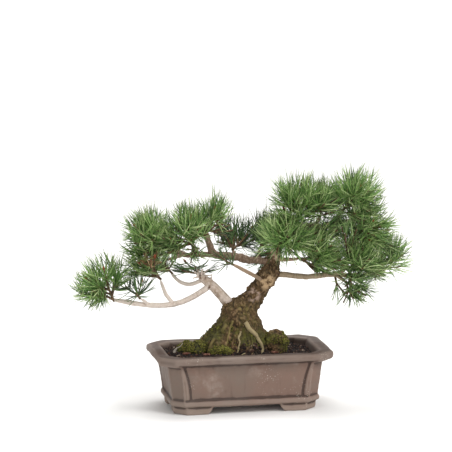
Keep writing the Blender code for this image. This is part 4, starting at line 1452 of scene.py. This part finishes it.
@dataclass
class Foliage:
    """All the tufts: needles in pairs along shoots, with their buds."""

    frame: dict
    effects: Effects
    seed: int = 5
    sag: float = 5 * MM
    overhang: float = 11 * MM
    wood: tuple[str, ...] = (
        "left_limb", "left_low_branch", "left_side_branch", "upper_left_branch",
        "right_branch", "crown_branch", "front_right_twig",
    )

    def build(self) -> None:
        """Models and dresses every tuft."""
        low, high = (np.array(corner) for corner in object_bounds())
        self.limit = (low - self.overhang, high + self.overhang)
        self.needle = Needle()
        self.stem = Stem(6, 9)
        self.tones = {tone: NeedleFinish(tone).build() for tone in Tone}
        self.shoot_bark = self.shoot_finish()
        ends = self.twig_ends()
        for number, (node, tuft) in enumerate(TUFTS.items()):
            self.grow(node, tuft, ends[node], number)
        for number, row in enumerate(BETWEEN):
            self.fill(row, ends, number)
        self.strays()

    def fill(self, row: tuple, ends: dict[str, Vector], number: int) -> None:
        """Grows a tuft between two others.

        Args:
            row: a line of the table above.
            ends: where each tuft leaves its twig.
            number: fixes its pattern.
        """
        first, second, share, size, tone, shift = row
        one, two = (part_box(f"needles_{name}") for name in (first, second))
        centre = ((one[0] + one[1]) / 2).lerp((two[0] + two[1]) / 2, share) + Vector(shift)
        half = ((one[1] - one[0]) + (two[1] - two[0])) / 4 * size
        dry = tone is Tone.DRY
        tuft = Tuft(
            shoots=3 if dry else 8, pairs=8 if dry else 18, tone=tone, lift=0.25,
            buds=number % 2, reach=1.0, length=15 * MM if dry else 36 * MM,
        )
        start = np.array(ends[f"needles_{first}"])
        part = f"{first}_to_{second}"
        self.spray(part, tuft, start, np.array(centre), np.array(half), 30 + number)

    def strays(self) -> None:
        """Adds the few needles of the thin branch and under the right branch."""
        thin = coordinates(self.frame["nodes"]["thin_branch"])
        tip = thin[np.argsort(thin[:, 0])[:6]].mean(axis=0)
        few = Tuft(shoots=3, pairs=7, tone=Tone.SHADE, lift=0.4, length=24 * MM, buds=0, reach=1.0)
        half = np.array((0.02, 0.02, 0.02))
        self.spray("thin_branch", few, tip, tip + (-0.006, 0, 0.008), half, 60)
        limb = coordinates(self.frame["nodes"]["right_branch"])
        spot = np.percentile(limb[:, 0], 42)
        under = limb[np.argsort(np.abs(limb[:, 0] - spot))[:6]].mean(axis=0)
        few = Tuft(shoots=2, pairs=6, tone=Tone.HALF_SHADE, lift=-0.9, length=24 * MM, buds=0, reach=1.0)
        half = np.array((0.018, 0.014, 0.020))
        self.spray("right_branch", few, under, under + (0.004, 0, -0.014), half, 61)

    def shoot_finish(self) -> Finish:
        """Young orange-brown bark with redder buds."""
        made = Finish("young_shoot", 0.7)
        bark = made.patches(self.effects, 320.0, "4C3A28", "6E5638", 0.4, 0.6)
        bud = made.patches(self.effects, 500.0, "9A4B22", "6A331B", 0.42, 0.62)
        made.colour(made.graph.mix(made.read("bud"), bark.outputs[0], bud.outputs[0]))
        made.relief(self.effects, 700.0, 1800.0, 0.5, 0.8, 0.0005)
        return made

    def twig_ends(self) -> dict[str, Vector]:
        """The wood's nearest point to each tuft, which is the twig it grows from."""
        trees = []
        for node in self.wood:
            points = coordinates(self.frame["nodes"][node])
            tree = kdtree.KDTree(len(points))
            for index, point in enumerate(points):
                tree.insert(point, index)
            tree.balance()
            trees.append(tree)
        found = {}
        for node in TUFTS:
            hits = [
                (tree.find(Vector(point))[2], number, point)
                for point in coordinates(self.frame["nodes"][node])
                for number, tree in enumerate(trees)
            ]
            _, number, point = min(hits, key=lambda hit: hit[0])
            close = [hit[0] for hit in trees[number].find_n(Vector(point), 6)]
            found[node] = sum(close, Vector()) / len(close)
        return found

    def grow(self, node: str, tuft: Tuft, end: Vector, number: int) -> None:
        """Grows one tuft inside its node's box.

        Args:
            node: the frame node it stands for.
            tuft: how it grows.
            end: the twig's end.
            number: fixes its pattern.
        """
        low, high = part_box(node)
        centre, half = np.array((low + high) / 2), np.array((high - low) / 2)
        part = node.replace("needles_", "")
        piece = self.spray(part, tuft, np.array(end), centre, half, number)
        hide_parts(node)

    def spray(
        self, part: str, tuft: Tuft, start: np.ndarray, centre: np.ndarray, half: np.ndarray,
        number: int,
    ) -> bpy.types.Object:
        """Grows the shoots and needles of one tuft.

        Args:
            part: the tuft's name.
            tuft: how it grows.
            start: the twig's end.
            centre: the middle of the tuft.
            half: half its size each way.
            number: fixes its pattern.

        Returns:
            The needles.
        """
        rng = np.random.default_rng(self.seed * 100 + number)
        half = half * tuft.reach
        centre = centre - np.array((0, 0, self.sag))
        paths = self.shoots(tuft, start, centre, half, rng)
        rows = [self.pairs(tuft, path, centre, half, rng) for path in paths]
        feet, ways, spans = (np.concatenate([row[k] for row in rows]) for k in range(3))
        piece = self.needles(f"needles_of_{part}", feet, ways, spans, rng)
        self.tones[tuft.tone].dress(piece)
        hand_over(piece)
        stems = self.stems(f"shoots_of_{part}", paths, tuft, rng)
        self.shoot_bark.dress(stems)
        hand_over(stems)
        return piece

    def shoots(
        self, tuft: Tuft, start: np.ndarray, centre: np.ndarray, half: np.ndarray,
        rng: np.random.Generator,
    ) -> list[np.ndarray]:
        """The line of each shoot, from the twig's end into the tuft.

        Args:
            tuft: how it grows.
            start: the twig's end.
            centre: the middle of the tuft.
            half: half its size each way.
            rng: the source of the spread.

        Returns:
            One array of points for each shoot.
        """
        outward = centre - start
        outward /= np.linalg.norm(outward)
        golden = math.pi * (3 - math.sqrt(5))
        turned = rng.uniform(0, 6.28)
        paths = []
        for k in range(tuft.shoots):
            share = (k + 0.5) / tuft.shoots
            z = 0.95 - 1.65 * share
            flat = math.sqrt(max(0.0, 1 - z * z))
            angle = golden * k + turned
            spot = np.array((math.cos(angle) * flat, math.sin(angle) * flat, z))
            aim = spot * rng.uniform(0.75, 1.0) + outward * 0.12
            goal = centre + aim * half * 0.60
            fork = start + (centre - start) * rng.uniform(0.15, 0.75)
            sink = np.array((0, 0, -0.10)) * np.linalg.norm(goal - fork)
            bend = fork + (goal - fork) * 0.5 + sink
            t = np.linspace(0, 1, 9)[:, None]
            path = (1 - t) ** 2 * fork + 2 * t * (1 - t) * bend + t**2 * goal
            paths.append(np.vstack([start - outward * 2 * MM, path]))
        return paths

    def pairs(
        self, tuft: Tuft, path: np.ndarray, centre: np.ndarray, half: np.ndarray,
        rng: np.random.Generator,
    ) -> tuple[np.ndarray, np.ndarray, np.ndarray]:
        """The needles of one shoot, as feet, ways and lengths.

        Args:
            tuft: how it grows.
            path: the shoot's line.
            centre: the middle of the tuft.
            half: half its size each way.
            rng: the source of the spread.

        Returns:
            Three arrays, two rows for each pair.
        """
        share = 0.28 + 0.72 * rng.uniform(0, 1, tuft.pairs) ** 0.7
        index = 1 + share * (len(path) - 2)
        whole = np.minimum(index.astype(int), len(path) - 2)
        part = (index - whole)[:, None]
        feet = path[whole] * (1 - part) + path[whole + 1] * part
        along = path[-1] - path[len(path) // 2]
        along /= np.linalg.norm(along)
        side = np.cross(along, (0.3, 0.2, 1.0))
        side /= np.linalg.norm(side)
        over = np.cross(along, side)
        angle = rng.uniform(0, 2 * math.pi, tuft.pairs)
        open_by = np.radians(88 - 54 * share + rng.normal(0, 13, tuft.pairs))
        round_it = np.cos(angle)[:, None] * side + np.sin(angle)[:, None] * over
        ways = np.cos(open_by)[:, None] * along + np.sin(open_by)[:, None] * round_it
        ways[:, 2] += tuft.lift * 0.4
        if tuft.droop:
            hangs = rng.uniform(0, 1, tuft.pairs) < tuft.droop
            ways[hangs, 2] = -np.abs(ways[hangs, 2]) - 0.5
        ways = unit(ways)
        spans = tuft.length * rng.uniform(0.82, 1.12, tuft.pairs)
        tips = (feet + ways * spans[:, None] - centre) / half
        over_reach = np.linalg.norm(tips, axis=1)
        loose = np.where(
            rng.uniform(0, 1, len(spans)) < 0.22, 1.28, rng.uniform(0.92, 1.16, len(spans))
        )
        shorter = np.maximum(0.66, 1 - 0.9 * (over_reach - loose))
        spans = spans * np.where(over_reach > loose, shorter, 1)
        keep = over_reach < 1.6
        feet, ways, spans = feet[keep], ways[keep], spans[keep]
        splay = rng.normal(0, 0.075, ways.shape)
        twice = unit(np.concatenate([ways + splay, ways - splay]))
        others = spans * rng.uniform(0.94, 1.04, len(spans))
        return np.concatenate([feet, feet]), twice, np.concatenate([spans, others])

    def needles(
        self, name: str, feet: np.ndarray, ways: np.ndarray, spans: np.ndarray,
        rng: np.random.Generator,
    ) -> bpy.types.Object:
        """Copies the needle to every place, each copy with its own curve.

        Args:
            name: the piece's name.
            feet: where each needle starts.
            ways: which way each sets out.
            spans: how long each is.
            rng: the source of the spread.

        Returns:
            The needles, as one piece.
        """
        count = len(feet)
        shape = self.needle.points
        side = unit(np.cross(ways, rng.normal(0, 1, ways.shape)))
        over = np.cross(ways, side)
        t = shape[:, 2]
        bend = rng.normal(0, 0.13, (count, 1)) * side
        bend = bend + np.array((0, 0, 1.0)) * rng.uniform(-0.03, 0.30, (count, 1))
        length = spans[:, None, None]
        line = feet[:, None] + ways[:, None] * t[None, :, None] * length
        line = line + bend[:, None] * (t**2)[None, :, None] * length
        width = self.needle.width * rng.uniform(0.85, 1.1, count)[:, None, None]
        points = line + width * (
            shape[None, :, 0, None] * side[:, None] + shape[None, :, 1, None] * over[:, None]
        )
        points = np.clip(points, self.limit[0], self.limit[1])
        local = self.needle.faces
        obj = new_piece(name, points.reshape(-1, 3), repeated(local, len(shape), count))
        turn = np.arctan2(shape[:, 1], shape[:, 0]) / (2 * math.pi) + 0.5
        column_uv(obj, rng.integers(0, 48, count), local, turn, t, 48)
        return obj

    def stems(
        self, name: str, paths: list[np.ndarray], tuft: Tuft, rng: np.random.Generator
    ) -> bpy.types.Object:
        """The shoots' own bark, with a bud at the end of the first ones.

        Args:
            name: the piece's name.
            paths: the line of each shoot.
            tuft: how it grows.
            rng: the source of the spread.

        Returns:
            The shoots, as one piece.
        """
        made = []
        for k, path in enumerate(paths):
            steps = len(path)
            thick = np.interp(np.linspace(0, 1, steps), [0, 0.2, 1], [1.25, 1.0, 0.8]) * MM
            made.append(self.stem.laid(f"{name}_{k}", path, thick * rng.uniform(0.9, 1.15)))
            if k < tuft.buds:
                tall = rng.uniform(5.5, 7.5) * MM
                way = path[-1] - path[-3]
                line = path[-1] + way / np.linalg.norm(way) * np.linspace(0, tall, 9)[:, None]
                wide = np.array((0.10, 0.15, 0.19, 0.20, 0.18, 0.13, 0.09, 0.05, 0.01)) * tall
                made.append(self.stem.laid(f"{name}_bud_{k}", line, wide, 1.0))
        return joined(name, made)


@dataclass
class Stem:
    """A closed round stem one unit long, modelled once and laid along any line."""

    sides: int
    rings: int
    points: np.ndarray = field(init=False)
    faces: np.ndarray = field(init=False)

    def __post_init__(self) -> None:
        """Extrudes the stem ring by ring from a small disc."""
        bpy.ops.object.select_all(action="DESELECT")
        bpy.ops.mesh.primitive_circle_add(vertices=self.sides, radius=1.0, fill_type="NGON")
        blank = bpy.context.active_object
        edit_all(blank)
        for _ in range(self.rings):
            bpy.ops.mesh.extrude_region_move(
                TRANSFORM_OT_translate={"value": (0, 0, 1 / self.rings)}
            )
        bpy.ops.mesh.select_all(action="SELECT")
        bpy.ops.mesh.quads_convert_to_tris()
        bpy.ops.mesh.normals_make_consistent(inside=False)
        leave_edit()
        self.points, self.faces = take_shape(blank)

    def laid(
        self, name: str, path: np.ndarray, thick: np.ndarray, mark: float = 0.0
    ) -> bpy.types.Object:
        """A copy of the stem along a line.

        Args:
            name: the object's name.
            path: the line's points.
            thick: the radius at each.
            mark: the value of its `bud` attribute.

        Returns:
            The stem.
        """
        along = unit(np.gradient(path, axis=0))
        side = np.cross(along[0], (0.31, 0.87, 0.4))
        sides = []
        for way in along:
            side = side - way * side.dot(way)
            side = side / np.linalg.norm(side)
            sides.append(side)
        sides = np.array(sides)
        overs = np.cross(along, sides)
        t = self.points[:, 2]
        steps = np.linspace(0, 1, len(path))

        def at(rows: np.ndarray) -> np.ndarray:
            """Rows read at each vertex's share of the line."""
            return np.stack([np.interp(t, steps, rows[:, k]) for k in range(3)], axis=1)

        radius = np.interp(t, steps, thick)[:, None]
        points = at(path) + radius * (
            self.points[:, :1] * at(sides) + self.points[:, 1:2] * at(overs)
        )
        obj = new_piece(name, points, self.faces)
        value = np.full(len(points), mark, np.float32)
        obj.data.attributes.new("bud", "FLOAT", "POINT").data.foreach_set("value", value)
        return obj


def joined(name: str, parts: list[bpy.types.Object]) -> bpy.types.Object:
    """Several objects made into one.

    Args:
        name: the new piece's name.
        parts: the objects.

    Returns:
        The joined piece.
    """
    pick(parts[0])
    for part in parts:
        part.select_set(True)
    if len(parts) > 1:
        bpy.ops.object.join()
    made = bpy.context.view_layer.objects.active
    made.name = name
    made.data.name = name
    return made


# ---------------------------------------------------------------- ground
@dataclass
class Ground:
    """The soil with its crumbs, the pebble and the chips of bark."""

    frame: dict
    effects: Effects
    crumbs: int = 5200
    seed: int = 31

    def crumb_finish(self) -> Finish:
        """Crumbs of peat, bark and a little pale grit, each of one colour."""
        made = Finish("soil_crumbs", 0.92)
        graph = made.graph
        uv = graph.add("UVMap", uv_map=BAKE_MAP).outputs[0]
        across = graph.split(uv)[0]
        made.colour(ramp(graph, across, (
            (0.0, "0D0806"), (0.3, "1A100C"), (0.55, "2B1B15"), (0.8, "3D271D"),
            (0.93, "5A3D2E"), (1.0, "8C7C6C"),
        )))
        return made

    def build(self) -> None:
        """Models and dresses the ground and what lies on it."""
        soil = copy_of(self.frame, "soil", "soil_bed")
        edit_all(soil)
        bpy.ops.mesh.subdivide(number_cuts=3)
        leave_edit()
        points = coordinates(soil)
        top = normals(soil)[:, 2] > 0.6
        wave = rough(points, 9 * MM, 4.0, 3) * 0.9 * MM
        push(soil, np.where(top & (points[:, 2] > points[:, 2].max() - 0.02), wave, 0))
        soil.data.shade_smooth()
        DARK_SOIL.build(self.effects).dress(soil)
        hand_over(soil, "soil")
        self.scatter(soil)
        self.stones()

    def scatter(self, soil: bpy.types.Object) -> None:
        """Lays crumbs over the top of the soil.

        Args:
            soil: the bed they lie on.
        """
        rng = np.random.default_rng(self.seed)
        surface = surface_of(soil)
        low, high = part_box("soil")
        spots = []
        while len(spots) < self.crumbs:
            x, y = rng.uniform(low.x, high.x), rng.uniform(low.y, high.y)
            hit, normal, _, _ = surface.ray_cast(Vector((x, y, high.z + 0.01)), Vector((0, 0, -1)))
            if hit is not None and normal.z > 0.3 and hit.z > low.z + 0.03:
                spots.append(tuple(hit))
        bark = coordinates(bpy.data.objects["trunk_bark"])
        trunk_low, trunk_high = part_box("trunk")
        front = trunk_low.lerp(trunk_high, 0.58)
        near = np.exp(-(((bark[:, 0] - front.x) / (16 * MM)) ** 2)) * (bark[:, 1] < front.y)
        climb = (bark[:, 2] - high.z + 5 * MM) / (9 * MM + 11 * MM * near)
        dusted = bark[(climb > 0) & (rng.uniform(0, 1, len(bark)) > climb)]
        spots = np.vstack([np.array(spots), rng.permutation(dusted)[:2600]])
        bpy.ops.object.select_all(action="DESELECT")
        bpy.ops.mesh.primitive_ico_sphere_add(subdivisions=1, radius=1.0)
        blank = bpy.context.active_object
        edit_all(blank)
        bpy.ops.transform.vertex_random(offset=0.22, uniform=0.5, seed=3)
        leave_edit()
        shape, local = take_shape(blank)
        size = rng.gamma(2.2, 0.33, len(spots)).clip(0.35, 2.6) * MM
        spin = np.linalg.qr(rng.normal(0, 1, (len(spots), 3, 3)))[0]
        spin[np.linalg.det(spin) < 0] *= -1
        squash = rng.uniform(0.55, 1.25, (len(spots), 1, 3))
        cloud = np.einsum("nij,nkj->nki", spin, shape[None] * squash) * size[:, None, None]
        points = (spots[:, None] + cloud + np.array((0, 0, 0.2 * MM))).reshape(-1, 3)
        crumbs = new_piece("soil_crumbs", points, repeated(local, len(shape), len(spots)))
        crumbs.data.shade_flat()
        spread, levels = (shape[:, 0] + 1.5) / 3, (shape[:, 2] + 1.5) / 3
        column_uv(crumbs, rng.integers(0, 32, len(spots)), local, spread, levels, 32)
        self.crumb_finish().dress(crumbs)
        hand_over(crumbs)

    def stones(self) -> None:
        """Refines the pebble and the chips of bark."""
        stone, chip = GREY_PEBBLE.build(self.effects), RED_CHIP.build(self.effects)
        rows = [("pebble", "grey_pebble_stone", "stone", stone)] + [
            (f"bark_chip_{side}", f"bark_chip_{side}_flake", "chip_bark", chip)
            for side in ("left", "middle", "right")
        ]
        low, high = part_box("pebble")
        twig = Stem(7, 10).laid(
            "dry_twig",
            np.array([
                (low.x - 0.001, low.y, low.z), (low.x + 0.003, low.y, high.z),
                (high.x, low.y - 0.001, high.z + 0.002), (high.x + 0.003, low.y, high.z + 0.006),
            ]),
            np.array((1.3, 1.1, 0.8, 0.5)) * MM,
        )
        stone.dress(twig)
        hand_over(twig)
        for number, (node, name, slot, finish) in enumerate(rows):
            piece = copy_of(self.frame, node, name)
            finish_with(piece, "SUBSURF", levels=3, render_levels=3)
            points = coordinates(piece)
            push(piece, rough(points, 2.4 * MM, number + 1.0, 3) * 0.5 * MM + 0.3 * MM)
            piece.data.shade_smooth()
            finish.dress(piece)
            hand_over(piece, node)


@dataclass
class Screens:
    """The two drainage screens, which keep their frame shape."""

    frame: dict
    effects: Effects

    def build(self) -> None:
        """Gives both screens a moulded plastic finish."""
        made = BLACK_SCREEN.build(self.effects)
        for node in ("drain_screen_left", "drain_screen_right"):
            made.dress(self.frame["nodes"][node])


# ---------------------------------------------------------------- stage
@dataclass
class Studio:
    """Pale floor and backdrop, soft lights and the camera."""

    centre: Vector
    aim: tuple[float, float, float] = (-0.01383, 0.0, 0.20412)
    turn: float = -9.965
    rise: float = 9.054
    roll: float = -0.497
    distance: float = 3.80
    lens: float = 271.52

    def build(self) -> None:
        """Sets up the stage."""
        self.floor()
        self.lights()
        self.camera()

    def floor(self) -> None:
        """A pale floor that sweeps up into the backdrop."""
        bpy.ops.object.select_all(action="DESELECT")
        bpy.ops.mesh.primitive_plane_add(size=2, location=(0, -2.6, 0))
        sweep = bpy.context.active_object
        sweep.name = "studio_sweep"
        sweep.scale = (5.0, 4.2, 1.0)
        settle(sweep)
        for edge in sweep.data.edges:
            edge.select = all(sweep.data.vertices[v].co.y > 1 for v in edge.vertices)
        for vertex in sweep.data.vertices:
            vertex.select = vertex.co.y > 1
        bpy.ops.object.mode_set(mode="EDIT")
        bpy.ops.mesh.select_mode(type="EDGE")
        bpy.ops.mesh.spin(steps=14, angle=-math.pi / 2, center=(0, 1.6, 1.2), axis=(1, 0, 0))
        bpy.ops.mesh.extrude_region_move(TRANSFORM_OT_translate={"value": (0, 0, 5)})
        leave_edit()
        sweep.data.shade_smooth()
        pale = Finish("pale_studio_paper", 0.8)
        graph = pale.graph
        pale.colour(graph.mix(graph.noise(pale.place, 3.0), linear("E9E8E6"), linear("EDECEB")))
        pale.dress(sweep)
        sweep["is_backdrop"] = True

    def lights(self) -> None:
        """Even light from all round, a soft key from the right and a wash on the wall."""
        world = bpy.data.worlds.new("studio")
        bpy.context.scene.world = world
        world.use_nodes = True
        sky = world.node_tree.nodes["Background"]
        sky.inputs[0].default_value = (1.0, 0.995, 0.99, 1)
        sky.inputs[1].default_value = 0.72
        rows = (
            ("key", (1.5, -2.0, 2.2), 1.3, 52.0),
            ("fill", (-2.2, -2.0, 1.3), 1.8, 9.0),
            ("top", (0.1, 0.3, 2.3), 1.4, 26.0),
            ("backdrop", (0.0, 1.2, 2.6), 1.8, 40.0),
        )
        for name, place, size, power in rows:
            light = bpy.data.lights.new(name, "AREA")
            light.shape = "DISK"
            light.size = size
            light.energy = power
            lamp = bpy.data.objects.new(name, light)
            bpy.context.scene.collection.objects.link(lamp)
            lamp.location = place
            way = Vector(place) - Vector((0, 0, 0.12))
            lamp.rotation_euler = way.to_track_quat("Z", "Y").to_euler()

    def camera(self) -> None:
        """A long lens from the front, a little above the rim."""
        turn, rise, roll = (math.radians(v) for v in (self.turn, self.rise, self.roll))
        back = Vector(
            (math.sin(turn) * math.cos(rise), -math.cos(turn) * math.cos(rise), math.sin(rise))
        )
        right = (-back).cross(Vector((0, 0, 1))).normalized()
        up = right.cross(-back).normalized()
        across = right * math.cos(roll) + up * math.sin(roll)
        above = up * math.cos(roll) - right * math.sin(roll)
        lens = bpy.data.cameras.new("front_camera")
        lens.lens = self.lens
        lens.sensor_width = 36.0
        lens.clip_end = 100.0
        camera = bpy.data.objects.new("front_camera", lens)
        bpy.context.scene.collection.objects.link(camera)
        place = Vector((self.centre.x, self.centre.y, 0)) + Vector(self.aim) + back * self.distance
        basis = Matrix((across, above, back)).transposed().to_4x4()
        camera.matrix_world = Matrix.Translation(place) @ basis
        bpy.context.scene.camera = camera


def main() -> None:
    """Builds the object round its frame, piece by piece."""
    logging.basicConfig(level=logging.INFO, format="%(name)s %(message)s")
    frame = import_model()
    bpy.context.scene.view_settings.view_transform = "Standard"
    effects = Effects()
    low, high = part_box("pot")
    middle = (low + high) / 2
    soil_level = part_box("bark_chip_middle")[0].z
    Pot(frame, effects).build()
    kinds = Wood(frame, effects, soil_level).build()
    SurfaceRoots(kinds).build()
    Moss(frame, effects, soil_level, kinds["trunk"]).build()
    Ground(frame, effects).build()
    Screens(frame, effects).build()
    Foliage(frame, effects).build()
    Studio(middle).build()
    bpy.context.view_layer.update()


if __name__ == "__main__":
    main()
